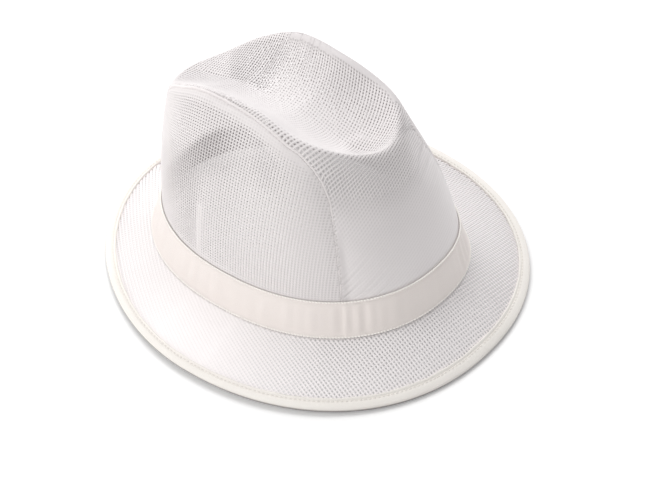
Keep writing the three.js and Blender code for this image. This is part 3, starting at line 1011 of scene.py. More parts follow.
def brim_net(pitch):
    """Crossings and kept cells of the brim's net."""
    skin = Skin(np.arange(-180.0, 181.0, 1.0), np.linspace(-0.06, 1.04, 60), brim_face)
    scale = BRIM_TRUE_RADIUS ** (1 - BRIM_OPENING) / BRIM_OPENING
    reach = scale * BRIM_NET_RADIUS**BRIM_OPENING
    lines = np.arange(-reach, reach, pitch)
    turned = (lines[:, None] + 1j * lines[None, :]) * np.exp(1j * math.radians(BRIM_GRAIN))
    radius = (np.abs(turned) / scale) ** (1 / BRIM_OPENING)
    turn = np.angle(turned) / BRIM_OPENING
    x, y = radius * np.sin(turn), -radius * np.cos(turn)
    angle, share, met = skin.find(stack(x, y, BRIM_RAY_HEIGHT), stack(np.zeros_like(x), 0.0, -1.0))
    beyond = np.abs(turn) > math.pi
    angle = np.where(beyond, np.sign(turn) * 180.0, angle)
    outer = share_from_edge(angle, BRIM_EDGE_TUCK)
    mid_turn = cell_centres(np.abs(turn))
    mid_share = cell_centres(share)
    kept = (mid_turn < math.pi) & (mid_share > 0) & (mid_share < cell_centres(outer))
    kept &= all_met(met)
    # A cell with corners on both sides of the cut at the back is left out.
    around = np.stack([angle[:-1, :-1], angle[1:, :-1], angle[:-1, 1:], angle[1:, 1:]])
    kept &= (around.max(0) - around.min(0)) < 90
    border = border_nodes(kept)
    edge_distance = np.abs(share - outer) * BRIM_REACH
    join_distance = np.abs(share) * BRIM_REACH
    cut_distance = (180 - np.abs(angle)) * BRIM_DEGREE_LENGTH
    nearest = np.stack([join_distance, edge_distance, cut_distance]).argmin(axis=0)
    share = np.where(border & (nearest == 0), 0.0, share)
    share = np.where(border & (nearest == 1), outer, share)
    angle = np.where(border & (nearest == 2), np.sign(angle) * 180.0, angle)
    return angle, share, kept


def socket(group, name, kind, way, default=None):
    """Adds a named socket to a node group."""
    made = group.interface.new_socket(name=name, in_out=way, socket_type=kind)
    if default is not None:
        made.default_value = default


def new_node(tree, kind, inputs=None, **properties):
    """Adds a node, sets its properties, and gives each listed input its value or its link."""
    node = tree.nodes.new(kind)
    for name, value in properties.items():
        setattr(node, name, value)
    for name, value in (inputs or {}).items():
        if isinstance(value, bpy.types.NodeSocket):
            tree.links.new(value, node.inputs[name])
        else:
            node.inputs[name].default_value = value
    return node


def math_node(tree, operation, *values):
    """The result of a sum or product of values and other nodes' results."""
    node = new_node(tree, "ShaderNodeMath", dict(enumerate(values)), operation=operation)
    return node.outputs[0]


def cloth_tone_group():
    """A node group: slow patches and fine fibres that shift a cloth's colour and roughness."""
    group = bpy.data.node_groups.new("Cloth tone", "ShaderNodeTree")
    socket(group, "Colour", "NodeSocketColor", "INPUT", (0.9, 0.9, 0.9, 1.0))
    socket(group, "Shade", "NodeSocketColor", "INPUT", (0.8, 0.8, 0.8, 1.0))
    socket(group, "Patch size", "NodeSocketFloat", "INPUT", 40.0)
    socket(group, "Roughness", "NodeSocketFloat", "INPUT", 0.8)
    socket(group, "Colour", "NodeSocketColor", "OUTPUT")
    socket(group, "Roughness", "NodeSocketFloat", "OUTPUT")
    socket(group, "Fibre", "NodeSocketFloat", "OUTPUT")
    given = new_node(group, "NodeGroupInput").outputs
    place = new_node(group, "ShaderNodeTexCoord").outputs["Object"]
    patches = {"Vector": place, "Scale": given["Patch size"], "Detail": 3.0, "Roughness": 0.6}
    fibres = {"Vector": place, "Scale": FIBRES_PER_METRE, "Detail": 2.0}
    patch = new_node(group, "ShaderNodeTexNoise", patches).outputs["Fac"]
    fibre = new_node(group, "ShaderNodeTexNoise", fibres).outputs["Fac"]
    amount = math_node(group, "MULTIPLY_ADD", fibre, FIBRE_SHARE, patch)
    shift = {"Value": amount, "From Min": SHIFT_RANGE[0], "From Max": SHIFT_RANGE[1]}
    shifted = new_node(group, "ShaderNodeMapRange", shift).outputs["Result"]
    colours = {"Factor": shifted, 6: given["Colour"], 7: given["Shade"]}
    mix = new_node(group, "ShaderNodeMix", colours, data_type="RGBA")
    rough = math_node(group, "MULTIPLY_ADD", shifted, ROUGHNESS_SHIFT, given["Roughness"])
    results = {"Colour": mix.outputs[2], "Roughness": rough, "Fibre": fibre}
    new_node(group, "NodeGroupOutput", results)
    return group


def plain_weave_group():
    """A node group: the raised threads of a plain weave, over and under, from the cloth map."""
    group = bpy.data.node_groups.new("Plain weave", "ShaderNodeTree")
    socket(group, "Threads per metre", "NodeSocketFloat", "INPUT", 2200.0)
    socket(group, "Height", "NodeSocketFloat", "OUTPUT")
    socket(group, "Between threads", "NodeSocketFloat", "OUTPUT")
    given = new_node(group, "NodeGroupInput").outputs
    place = new_node(group, "ShaderNodeUVMap", uv_map="cloth").outputs["UV"]
    scale = {0: place, "Scale": given["Threads per metre"]}
    scaled = new_node(group, "ShaderNodeVectorMath", scale, operation="SCALE")
    parts = new_node(group, "ShaderNodeSeparateXYZ", {0: scaled.outputs[0]}).outputs
    turns = [math_node(group, "MULTIPLY", parts[axis], math.pi) for axis in ("X", "Y")]
    waves = [math_node(group, "SINE", turn) for turn in turns]
    over = math_node(group, "MULTIPLY", *waves)
    height = math_node(group, "MULTIPLY_ADD", over, 0.5, 0.5)
    gap = math_node(group, "SUBTRACT", 1.0, math_node(group, "ABSOLUTE", over))
    new_node(group, "NodeGroupOutput", {"Height": height, "Between threads": gap})
    return group


def shared_group(maker, name):
    """The node group of that name, built the first time that it is asked for."""
    return bpy.data.node_groups.get(name) or maker()


def multiplied(tree, colour, other, factor):
    """A colour multiplied by another one where the factor is 1, and unchanged where it is 0."""
    colours = {"Factor": factor, 6: colour, 7: other}
    mix = new_node(tree, "ShaderNodeMix", colours, data_type="RGBA", blend_type="MULTIPLY")
    return mix.outputs[2]


def cloth_material(name, colour, shade, roughness, patch_size, bump, threads=0.0):
    """A cloth finish: shifting tone, fine fibres, painted shade from the tone attribute and, with
    threads, a woven face with painted shade between its threads.
    """
    material = bpy.data.materials.new(name)
    material.use_nodes = True
    tree = material.node_tree
    shader = tree.nodes["Principled BSDF"]
    tone = new_node(tree, "ShaderNodeGroup")
    tone.node_tree = shared_group(cloth_tone_group, "Cloth tone")
    tone.inputs["Colour"].default_value = (*colour, 1.0)
    tone.inputs["Shade"].default_value = (*shade, 1.0)
    tone.inputs["Patch size"].default_value = patch_size
    tone.inputs["Roughness"].default_value = roughness
    lift = new_node(tree, "ShaderNodeBump", {"Strength": bump, "Distance": BUMP_DISTANCE})
    face_colour, raised = tone.outputs["Colour"], tone.outputs["Fibre"]
    if threads:
        weave = new_node(tree, "ShaderNodeGroup")
        weave.node_tree = shared_group(plain_weave_group, "Plain weave")
        weave.inputs["Threads per metre"].default_value = threads
        raised = weave.outputs["Height"]
        # Painted shade between the woven threads.
        face_colour = multiplied(tree, face_colour, WEAVE_GAP_SHADE_COLOUR, weave.outputs["Between threads"])
    tree.links.new(raised, lift.inputs["Height"])
    # Painted shade: the tone attribute darkens the colour towards a dark grey in the net's hollows,
    # beside the seams, on the far strip and under the tape.
    hollow = new_node(tree, "ShaderNodeAttribute", attribute_name="tone")
    face_colour = multiplied(tree, face_colour, HOLLOW_SHADE_COLOUR, hollow.outputs["Fac"])
    tree.links.new(face_colour, shader.inputs["Base Color"])
    tree.links.new(tone.outputs["Roughness"], shader.inputs["Roughness"])
    tree.links.new(lift.outputs["Normal"], shader.inputs["Normal"])
    shader.inputs["Specular IOR Level"].default_value = CLOTH_SPECULAR
    shader.inputs["Sheen Weight"].default_value = CLOTH_SHEEN
    return material


def ring_piece(name, angles, section, material, slot, loop_tone=None):
    """A closed ring from a loop of points for every angle, with its cloth map."""
    loops = section(angles[:, None])
    count, width = loops.shape[0], loops.shape[1]
    corner = np.arange(count * width).reshape(count, width)
    ahead = np.roll(corner, -1, axis=0)
    up = np.roll(corner, -1, axis=1)
    ahead_up = np.roll(ahead, -1, axis=1)
    faces = np.stack([corner, ahead, ahead_up, up], axis=-1).reshape(-1, 4).tolist()
    around, over = run_of(loops[:, 0]), run_of(loops[0])
    cloth_map = stack(around[:, None], over[None, :], 0.0)[..., :2].reshape(-1, 2)
    tone = None if loop_tone is None else np.tile(loop_tone, count)
    return mesh_piece(name, loops.reshape(-1, 3), faces, material, slot, cloth_map, tone)


def smooth_noise(angle, seed, waves, low, high):
    """A smooth closed wave round the hat, from a few sines with seeded turns."""
    random = np.random.default_rng(seed)
    counts = random.integers(low, high, waves)
    starts = random.uniform(0, 2 * math.pi, waves)
    parts = [np.sin(np.radians(angle) * count + start) for count, start in zip(counts, starts)]
    return sum(parts) / math.sqrt(waves)


def tube_piece(name, path, outward, half_width, half_height, material, slot):
    """A flattened cord along a path of points, lying flat against the outward direction."""
    count = len(path)
    across = unit(np.cross(np.gradient(path, axis=0), outward))
    turn = np.linspace(0, 2 * math.pi, TUBE_SIDES, endpoint=False)
    width = across[:, None] * np.cos(turn)[None, :, None] * half_width
    height = outward[:, None] * np.sin(turn)[None, :, None] * half_height
    points = (path[:, None] + width + height).reshape(-1, 3)
    corner = np.arange(count * TUBE_SIDES).reshape(count, TUBE_SIDES)
    start, end = corner[:-1], corner[1:]
    quads = np.stack([start, np.roll(start, -1, 1), np.roll(end, -1, 1), end], axis=-1)
    faces = quads.reshape(-1, 4).tolist() + [corner[0][::-1].tolist(), corner[-1].tolist()]
    return mesh_piece(name, points, faces, material, slot)


def stitch_row(name, path, outward, spacing, length, radius, material, slot):
    """One joined mesh of small thread stitches laid end to end along a path."""
    run = run_of(path)
    places = np.arange(spacing / 2, run[-1], spacing)
    centre = resample(places, run, path)
    ahead = resample(places + STITCH_AIM, run, path)
    behind = resample(places - STITCH_AIM, run, path)
    up = resample(places, run, outward)
    along = unit(ahead - behind)
    across = np.cross(along, up)
    turn = np.linspace(0, 2 * math.pi, STITCH_SIDES, endpoint=False)
    rings = []
    for ring in STITCH_RINGS:
        middle = centre + along * ring["along"] * length + up * ring["rise"] * radius
        wide = across[:, None] * np.cos(turn)[None, :, None] * ring["width"] * radius
        tall = up[:, None] * np.sin(turn)[None, :, None] * ring["width"] * radius
        rings.append(middle[:, None] + wide + tall)
    points = np.stack(rings, axis=1)
    count = len(STITCH_RINGS)
    block = np.arange(len(places))[:, None, None] * count * STITCH_SIDES
    corner = block + np.arange(count * STITCH_SIDES).reshape(count, STITCH_SIDES)[None]
    start, end = corner[:, :-1], corner[:, 1:]
    quads = np.stack([start, np.roll(start, -1, 2), np.roll(end, -1, 2), end], axis=-1)
    caps = [corner[:, 0, ::-1], corner[:, -1]]
    faces = quads.reshape(-1, 4).tolist() + np.concatenate(caps).tolist()
    return mesh_piece(name, points.reshape(-1, 3), faces, material, slot)


length_property = partial(bpy.props.FloatProperty, unit="LENGTH")
share_property = partial(bpy.props.FloatProperty, subtype="FACTOR")
colour_property = partial(bpy.props.FloatVectorProperty, subtype="COLOR")


class NetSettings(bpy.types.PropertyGroup):
    """Sizes and colour of the net."""

    pitch: length_property(name="Pitch", description="Distance between ribs", default=0.002)
    rib_half_width: share_property(
        name="Rib half width", description="As a share of the pitch", default=0.33
    )
    thread_half_width: share_property(
        name="Thread half width", description="As a share of the pitch", default=0.22
    )
    rib_height: length_property(
        name="Rib height", description="Over the middle of the net", default=0.00045
    )
    thread_height: length_property(
        name="Thread height", description="Over the middle of the net", default=0.00012
    )
    colour: colour_property(
        name="Colour", description="Colour of the net", default=(0.88, 0.843, 0.843)
    )
    shade: colour_property(
        name="Shade", description="Its duller patches", default=(0.83, 0.79, 0.792)
    )
    # Painted shade: the seam folds and stitches are a darker copy of the same net.
    seam_shaded_colour: colour_property(
        name="Seams", description="Colour of the seam folds", default=(0.81, 0.768, 0.765)
    )
    seam_shaded_patches: colour_property(
        name="Seam shade", description="Their duller patches", default=(0.75, 0.71, 0.71)
    )
    # Painted light: the brim's net is a lighter copy of the same net.
    brim_lit_colour: colour_property(
        name="Brim", description="Colour of the brim's net", default=(0.99, 0.955, 0.958)
    )
    brim_lit_shade: colour_property(
        name="Brim shade", description="Its duller patches", default=(0.96, 0.915, 0.918)
    )


class ClothSettings(bpy.types.PropertyGroup):
    """Colours and weave of the band and the brim's tape."""

    band_colour: colour_property(
        name="Band", description="Colour of the band", default=(0.92, 0.86, 0.83)
    )
    band_shade: colour_property(
        name="Band shade", description="Its duller patches", default=(0.87, 0.81, 0.785)
    )
    tape_colour: colour_property(
        name="Tape", description="Colour of the tape", default=(0.98, 0.95, 0.91)
    )
    tape_shade: colour_property(
        name="Tape shade", description="Its duller patches", default=(0.93, 0.895, 0.855)
    )
    threads: bpy.props.FloatProperty(
        name="Threads per metre", description="Threads of the plain weave", default=2400.0
    )
    stitch_length: length_property(
        name="Stitch", description="Length of one stitch", default=0.0022
    )


class StageSettings(bpy.types.PropertyGroup):
    """Floor, lights and camera."""

    floor_colour: colour_property(
        name="Floor", description="Colour of the floor", default=(0.93, 0.93, 0.93)
    )
    floor_glow: bpy.props.FloatProperty(
        name="Floor glow", description="Light that comes up through the floor", default=0.12
    )
    sky: bpy.props.FloatProperty(name="Sky", description="Strength of the even light", default=0.505)
    key: bpy.props.FloatProperty(name="Key", description="Power of the upper light", default=20.0)
    side: bpy.props.FloatProperty(name="Side", description="Power of the low light", default=13.0)


def net_finish(settings, brim=False):
    """The net's material on the crown, or its lighter painted-light copy on the brim, made the first
    time that it is asked for.
    """
    name = "brim_net_lit" if brim else "crown_net_white"
    colour = settings.brim_lit_colour if brim else settings.colour
    shade = settings.brim_lit_shade if brim else settings.shade
    found = bpy.data.materials.get(name)
    return found or cloth_material(name, colour[:], shade[:], **NET_FINISH)


def net_profile(settings, balance=0.0):
    """The net's rib and thread sizes for net_mesh. At a balance of 1 a thread is like a rib."""
    rib = {"half_width": settings.rib_half_width, "height": settings.rib_height / MM}
    thread = {"half_width": settings.thread_half_width, "height": settings.thread_height / MM}
    for name, value in rib.items():
        thread[name] += (value - thread[name]) * balance
    # These tones scale the painted shade on the net's hollows and threads.
    rib["tone"], thread["tone"] = 1 - balance / 2, 1 - balance
    return rib, thread


def far_strip(angle, level):
    """Where two layers of net lie inside the left ridge: 1 on them and 0 off them."""
    half = half_angle(angle)
    end = table_value(STRIP_END_ROWS, "level", angle)
    strip = smooth_step(*STRIP_START, level) * (1 - smooth_step(end, end + STRIP_FADE, level))
    return strip * ~on_right(angle) * (half > FRONT_SEAM) * (half < STRIP_END_ANGLE)


def inner_crest(angle, level):
    """The slope from the right ridge down into the dish: 1 by the ridge, fading past the valley."""
    valley = 1 - VALLEY_FADE * smooth_step(*VALLEY_NEAR_LEVELS, level)
    from_ridge = smooth_step(*CREST_LEVELS, level) * valley
    from_valley = (1 - VALLEY_FADE) * smooth_step(*VALLEY_FAR_LEVELS, level)
    slope = np.where(on_right(angle), from_ridge, from_valley)
    return slope * plateau(CREST_ANGLES, half_angle(angle))


def centre_tone(angle, level):
    """How much painted shade the centre panel gets: a little on the far strip, a painted shadow beside
    the front seams, and less on the lit slope inside the right ridge, where painted light takes it
    off.
    """
    half = half_angle(angle)
    beside = smooth_step(*SEAM_TONE_ANGLES, half) * (half < SEAM_TONE_END)
    beside = beside * (1 - smooth_step(*SEAM_TONE_LEVELS, level)) * SEAM_PAINTED_SHADOW
    dulled = np.maximum(beside, far_strip(angle, level) * STRIP_PAINTED_SHADE)
    return dulled - inner_crest(angle, level) * CREST_PAINTED_LIGHT


def side_tone(angle, level):
    """How much painted shade a side panel gets: a little more towards the front, the same at every
    level.
    """
    return table_value(SIDE_FILL_ROWS, "tone", angle)


def brim_tone(angle, share):
    """How much painted shade the brim gets: painted light takes it off its hollows where they are
    shut.
    """
    return -BRIM_PAINTED_LIGHT * np.maximum(brim_fill(angle, share), 0.0)


def centre_fill(angle, level):
    """How far the centre panel's holes are shut: most near the band and least in the dish."""
    half = half_angle(angle)
    fill = look_up(WALL_FILL_ROWS, "level", "fill", level)
    fill = fill + (CREST_FILL - fill) * inner_crest(angle, level)
    tight = plateau(TIGHT_ANGLES, half) * (1 - smooth_step(*TIGHT_END_LEVELS, level))
    tight = tight * (1 - smooth_step(*TIGHT_END_FILLS, fill))
    fill = fill + tight * WALL_TIGHTENING
    corner = plateau(DARK_CORNER_ANGLES, half) * smooth_step(*DARK_CORNER_LEVELS, level)
    fill = fill + (DARK_CORNER_FILL - fill) * corner * ~on_right(angle)
    return fill + (STRIP_FILL - fill) * far_strip(angle, level)


def side_fill(angle, level):
    """How far a side panel's holes are shut: the cloth is sheer in an arch under its top."""
    half = half_angle(angle)
    depth = table_value(ARCH_ROWS, "top", angle) - level
    open_share = plateau(ARCH_DEPTHS, depth) * plateau(ARCH_ANGLES, half)
    to_top = (table_value(SEAM_ROWS, "height", angle) - level) * WALL_LENGTH
    doubled = 1 - smooth_step(SEAM_LAP_WIDTH, SEAM_LAP_WIDTH + SEAM_LAP_FADE, to_top)
    doubled = doubled * smooth_step(*SEAM_LAP_ANGLES, half)
    sheer = plateau(SHEER_ANGLES, half) * (1 - smooth_step(*SHEER_END_LEVELS, level))
    line = np.exp(-(((half - PLEAT["angle"]) / PLEAT["half_width"]) ** 2))
    line = line * (1 - smooth_step(*PLEAT_END_LEVELS, level))
    turned = smooth_step(*ARCH_TURN_ANGLES, half)
    arch = ARCH_FILL["front"] + (ARCH_FILL["back"] - ARCH_FILL["front"]) * turned
    plain = table_value(SIDE_FILL_ROWS, "fill", angle)
    fill = plain + (SHEER_FILL - plain) * sheer
    fill = fill + (arch - fill) * open_share
    fill = fill + (1.0 - fill) * np.maximum(line, 1 - smooth_step(*HEM_SHUT_LEVELS, level))
    return fill + (DOUBLED_FILL - fill) * doubled


def brim_fill(angle, share):
    """How far the brim's holes are shut, the same from the join to the edge."""
    return look_up(BRIM_FILL_ROWS, "angle", "fill", np.mod(angle, 360.0))


# What each kind of net follows, how like ribs its threads are, and whose finish it has.
CENTRE_NET = {
    "face": crown_point, "normal": crown_normal, "fill": centre_fill, "tone": centre_tone,
    "balance": 0.0, "brim": False,
}
SIDE_NET = {
    "face": crown_point, "normal": crown_normal, "fill": side_fill, "tone": side_tone,
    "balance": 0.8, "brim": False,
}
BRIM_NET = {
    "face": brim_face, "normal": brim_normal, "fill": brim_fill, "tone": brim_tone,
    "balance": 0.45, "brim": True,
}


def net_piece(name, node, u, v, kept, kind, settings, flip=False):
    """A net on a surface, with its ribs' crests on the frame's outer face, in place of a node."""
    rib, thread = net_profile(settings, kind["balance"])
    normals, fill, tone = kind["normal"](u, v), kind["fill"](u, v), kind["tone"](u, v)
    flatness = 1 - CLOSED_FLATTENING * fill[..., None]
    nodes = kind["face"](u, v) - normals * rib["height"] * flatness
    points, faces, tones, rims = net_mesh(nodes, normals, kept, fill, tone, rib, thread)
    if flip:
        faces = faces[:, ::-1]
    finish = net_finish(settings, kind["brim"])
    piece = mesh_piece(name, points, faces.tolist(), finish, "net_white", tone=tones, rims=rims)
    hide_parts(node)


class TRILBY_OT_centre_panel(bpy.types.Operator):
    """Net strip up the front, over the dished top and down the back."""

    bl_idname = "trilby.centre_panel"
    bl_label = "Centre panel"

    def execute(self, context):
        net = context.scene.trilby_net
        angle, level, kept = centre_panel_net(net.pitch / MM)
        net_piece(
            "crown_centre_net", "crown_centre_panel", angle, level, kept, CENTRE_NET, net, flip=True
        )
        return {"FINISHED"}


class TRILBY_OT_side_panels(bpy.types.Operator):
    """The two arched net panels at the sides of the crown."""

    bl_idname = "trilby.side_panels"
    bl_label = "Side panels"

    def execute(self, context):
        net = context.scene.trilby_net
        for name, side in (("left", 1), ("right", -1)):
            angle, level, kept = side_panel_net(side, net.pitch / MM)
            net_piece(
                f"side_net_{name}", f"side_panel_{name}", angle.T, level.T, kept.T,
                SIDE_NET, net, flip=side < 0,
            )
        return {"FINISHED"}


class TRILBY_OT_brim(bpy.types.Operator):
    """The brim's sloping net."""

    bl_idname = "trilby.brim"
    bl_label = "Brim"

    def execute(self, context):
        net = context.scene.trilby_net
        angle, share, kept = brim_net(net.pitch / MM)
        net_piece("brim_net", "brim", angle, share, kept, BRIM_NET, net)
        return {"FINISHED"}


def seam_path(side):
    """Angles and levels along one seam, from the front hem over the top to the back hem."""
    up = np.linspace(HEM_LEVEL, FRONT_CORNER_LEVEL, SEAM_STEPS["up"])
    shoulder = np.linspace(FRONT_SEAM, SHOULDER_ANGLE, SEAM_STEPS["shoulder"])[1:]
    top = np.linspace(SHOULDER_ANGLE, BACK_SEAM, SEAM_STEPS["top"])[1:]
    over = np.concatenate([shoulder, top])
    down = np.linspace(BACK_CORNER_LEVEL, HEM_LEVEL, SEAM_STEPS["down"])[1:]
    angle = np.concatenate([np.full(len(up), FRONT_SEAM), over, np.full(len(down), BACK_SEAM)])
    level = np.concatenate([up, table_value(SEAM_ROWS, "height", over), down])
    return side * angle, level


def seam_lap(name, side, path, outward, skin, net, width):
    """The strip of doubled net behind a panel's edge."""
    away = unit(np.cross(np.gradient(path, axis=0), outward) * side)
    run = run_of(path)
    even = np.arange(0.0, run[-1], SEAM_LAP_PITCH)
    widths = np.arange(0.0, width + 0.1, SEAM_LAP_PITCH)
    centre, normal, sideways = (resample(even, run, part) for part in (path, outward, away))
    nodes = centre[:, None] + sideways[:, None] * widths[None, :, None]
    angle, level, _ = skin.nearest(nodes - normal[:, None] * SEAM_LAP_DEPTH)
    normals = crown_normal(angle, level)
    nodes = crown_point(angle, level) - normals * SEAM_LAP_DEPTH
    rib, thread = net_profile(net)
    kept = np.ones((len(even) - 1, len(widths) - 1), bool)
    fill = np.full(nodes.shape[:2], SEAM_LAP_FILL)
    points, faces, tones, rims = net_mesh(
        nodes, normals, kept, fill, np.zeros_like(fill), rib, thread
    )
    mesh_piece(name, points, faces.tolist(), net_finish(net), "net_white", tone=tones, rims=rims)


class TRILBY_OT_seams(bpy.types.Operator):
    """The seams between the crown's panels, with the doubled net that lies behind them."""

    bl_idname = "trilby.seams"
    bl_label = "Seams"

    def execute(self, context):
        net = context.scene.trilby_net
        cloth = context.scene.trilby_cloth
        # The seam folds and stitches take the darker, painted-shade copy of the net.
        finish = cloth_material("seam_net_shaded", net.seam_shaded_colour[:], net.seam_shaded_patches[:], **NET_FINISH)
        skin = crown_skin()
        for name, side in (("left", 1), ("right", -1)):
            angle, level = seam_path(side)
            path = crown_point(angle, level)
            run = run_of(path)
            even = np.arange(0.0, run[-1], SEAM_SPACING)
            path = resample(even, run, path)
            level = np.interp(even, run, level)
            outward = crown_normal(np.interp(even, run, angle), level)
            for _ in range(SEAM_SMOOTHINGS):
                path[1:-1] = (path[:-2] + 2 * path[1:-1] + path[2:]) / 4
            sink = SEAM_SINK["foot"] - SEAM_SINK["rise"] * smooth_step(*SEAM_SINK_LEVELS, level)
            tube_piece(
                f"seam_fold_{name}", path - outward * sink[:, None], outward,
                SEAM_FOLD["half_width"], SEAM_FOLD["half_height"], finish, "net_white",
            )
            seam_lap(f"seam_lap_{name}", side, path, outward, skin, net, SEAM_LAP_WIDTH)
            if side > 0:
                top, top_outward = path[TOP_LAP], outward[TOP_LAP]
                seam_lap("seam_lap_top", -side, top, top_outward, skin, net, TOP_LAP_WIDTH)
            inward = unit(np.cross(np.gradient(path, axis=0), outward))
            stitch_row(
                f"seam_stitches_{name}",
                path + inward * side * SEAM_STITCH["inset"] - outward * SEAM_STITCH["sink"],
                outward, SEAM_STITCH["spacing"], cloth.stitch_length / MM, SEAM_STITCH["radius"],
                finish, "net_white",
            )
        return {"FINISHED"}


def band_pucker(angle, share):
    """Small puckers of the band cloth, with one crease where its ends are joined."""
    middle = np.sin(np.pi * share)
    fine = smooth_noise(angle, **FINE_PUCKERS) * middle**PUCKER_FULLNESS
    slow = smooth_noise(angle, **SLOW_PUCKERS)
    past = np.mod(angle, 360.0) - BAND_JOIN["angle"]
    lap = smooth_step(-BAND_JOIN["sharpness"], BAND_JOIN["sharpness"], past)
    lap = lap * np.exp(-np.maximum(past, 0.0) / BAND_JOIN["reach"])
    puckers = PUCKER_SHARE["fine"] * fine + PUCKER_SHARE["slow"] * slow * middle
    return PUCKER_DEPTH * puckers + BAND_JOIN["rise"] * lap


def band_section(angle):
    """The band's cloth: an outer face, a rolled edge above and below, and an inner face."""
    shares = np.linspace(0.0, 1.0, BAND_ROWS)
    rise = band_pucker(angle, shares) - BAND_REST
    outer = band_face(angle, shares) + band_normal(angle, shares) * rise[..., None]
    up = np.array([0.0, 0.0, 1.0])
    rolls = []
    for share, turns, shift in BAND_ROLLS:
        out = band_normal(angle, share)
        turns = np.radians(np.linspace(*turns, BAND_ROLL_POINTS))
        ring = band_face(angle, share) - out * (BAND_ROLL * BAND_ROLL_INSET) + up * shift
        ring = ring + out * (np.cos(turns) * BAND_ROLL)[None, :, None]
        rolls.append(ring + up * (np.sin(turns) * BAND_ROLL)[None, :, None])
    inner = band_face(angle, shares[1:-1][::-1], BAND_WALL)
    return np.concatenate([outer[:, 1:-1], rolls[0], inner, rolls[1]], axis=1)


class TRILBY_OT_band(bpy.types.Operator):
    """The plain cloth band round the foot of the crown."""

    bl_idname = "trilby.band"
    bl_label = "Band"

    def execute(self, context):
        cloth = context.scene.trilby_cloth
        finish = cloth_material(
            "band_cotton", cloth.band_colour[:], cloth.band_shade[:],
            threads=cloth.threads, **BAND_FINISH,
        )
        angles = np.linspace(0.0, 360.0, RING_COLUMNS, endpoint=False)
        piece = ring_piece("band_cloth", angles, band_section, finish, "band_cloth")
        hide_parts("hat_band")
        edge_finish = cloth_material(
            "band_edge_thread", cloth.tape_colour[:], cloth.tape_shade[:], **EDGE_FINISH
        )
        angles = np.linspace(0.0, 360.0, STITCH_PATH_POINTS)
        for edge in BAND_EDGES:
            share = np.full_like(angles, edge["share"])
            outward = band_normal(angles, share)
            path = band_face(angles, share) + np.array([0.0, 0.0, edge["rise"]])
            stitch_row(
                f"band_{edge['name']}_edge", path + outward * edge["out"], outward,
                *BAND_EDGE_STITCH, edge_finish, "band_cloth",
            )
        return {"FINISHED"}


def tape_section(angle):
    """The tape folded round the brim's edge, pressed flat where it rests."""
    wave = TAPE_WAVE * smooth_noise(angle, **TAPE_WAVES)
    floor = brim_lift(angle)
    loop = []
    for row in TAPE_ROWS:
        point = brim_face(angle, share_from_edge(angle, row["inset"] + wave * row["wave"]))
        height = point[..., 2] - NET_WALL / 2 + row["rise"] * TAPE_OUTSIDE
        loop.append(stack(point[..., 0], point[..., 1], height))
    for inset in TAPE_FOOT["insets"]:
        point = brim_face(angle, share_from_edge(angle, inset))
        loop.append(stack(point[..., 0], point[..., 1], floor))
    return np.concatenate(loop, axis=1)[:, ::-1]


class TRILBY_OT_tape(bpy.types.Operator):
    """The tape bound round the brim's edge, and its stitches."""

    bl_idname = "trilby.tape"
    bl_label = "Brim tape"

    def execute(self, context):
        cloth = context.scene.trilby_cloth
        finish = cloth_material(
            "binding_tape", cloth.tape_colour[:], cloth.tape_shade[:],
            threads=cloth.threads * TAPE_FINENESS, **TAPE_FINISH,
        )
        angles = np.linspace(0.0, 360.0, RING_COLUMNS, endpoint=False)
        # Painted contact shadow under the tape's nose and foot.
        tones = [row["tone"] for row in TAPE_ROWS] + [TAPE_FOOT["tone"]] * 2
        piece = ring_piece("brim_tape", angles, tape_section, finish, "binding_tape", tones[::-1])
        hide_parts("brim_binding")
        angles = np.linspace(0.0, 360.0, STITCH_PATH_POINTS)
        path = brim_face(angles, share_from_edge(angles, TAPE_STITCH["inset"]))
        up = brim_normal(angles, np.full_like(angles, TAPE_STITCH["share"]))
        stitch_row(
            "tape_stitches", path + up * (GAP + TAPE_WALL) * TAPE_STITCH["rise"], up,
            TAPE_STITCH["spacing"], cloth.stitch_length / MM, TAPE_STITCH["radius"],
            finish, "binding_tape",
        )
        return {"FINISHED"}


def make_camera():
    """The camera at the photograph's viewing angle, moved sideways so that no lens shift is needed."""
    turn, rise = math.radians(CAMERA["azimuth"]), math.radians(CAMERA["elevation"])
    roll = math.radians(CAMERA["roll"])
    level = math.cos(rise)
    back = Vector((math.sin(turn) * level, -math.cos(turn) * level, math.sin(rise)))
    right = Vector((math.cos(turn), math.sin(turn), 0.0))
    up = back.cross(right)
    rolled_right = right * math.cos(roll) + up * math.sin(roll)
    rolled_up = up * math.cos(roll) - right * math.sin(roll)
    distance = CAMERA["distance"]
    place = Vector(CAMERA_TARGET) + back * distance
    place -= rolled_right * (PICTURE_SHIFT["right"] * distance / PICTURE_FOCAL)
    place += rolled_up * (PICTURE_SHIFT["down"] * distance / PICTURE_FOCAL)
    data = bpy.data.cameras.new("camera")
    data.lens = SENSOR_WIDTH * PICTURE_FOCAL / PICTURE_WIDTH
    data.sensor_width = SENSOR_WIDTH
    data.clip_start, data.clip_end = CAMERA_CLIPS
    camera = bpy.data.objects.new("camera", data)
    facing = Matrix((rolled_right, rolled_up, back)).transposed()
    camera.matrix_world = Matrix.Translation(place * MM) @ facing.to_4x4()
    bpy.context.scene.collection.objects.link(camera)
    bpy.context.scene.camera = camera


def make_area_light(name, place, power):
    """A soft square light that looks at the hat from a direction."""
    data = bpy.data.lights.new(name, "AREA")
    data.size, data.energy, data.color = LIGHT_SIZE, power, place["colour"]
    light = bpy.data.objects.new(name, data)
    aim = Vector(place["direction"]).normalized()
    light.location = aim * LIGHT_DISTANCE
    light.rotation_mode = "QUATERNION"
    light.rotation_quaternion = aim.to_track_quat("Z", "Y")
    bpy.context.scene.collection.objects.link(light)


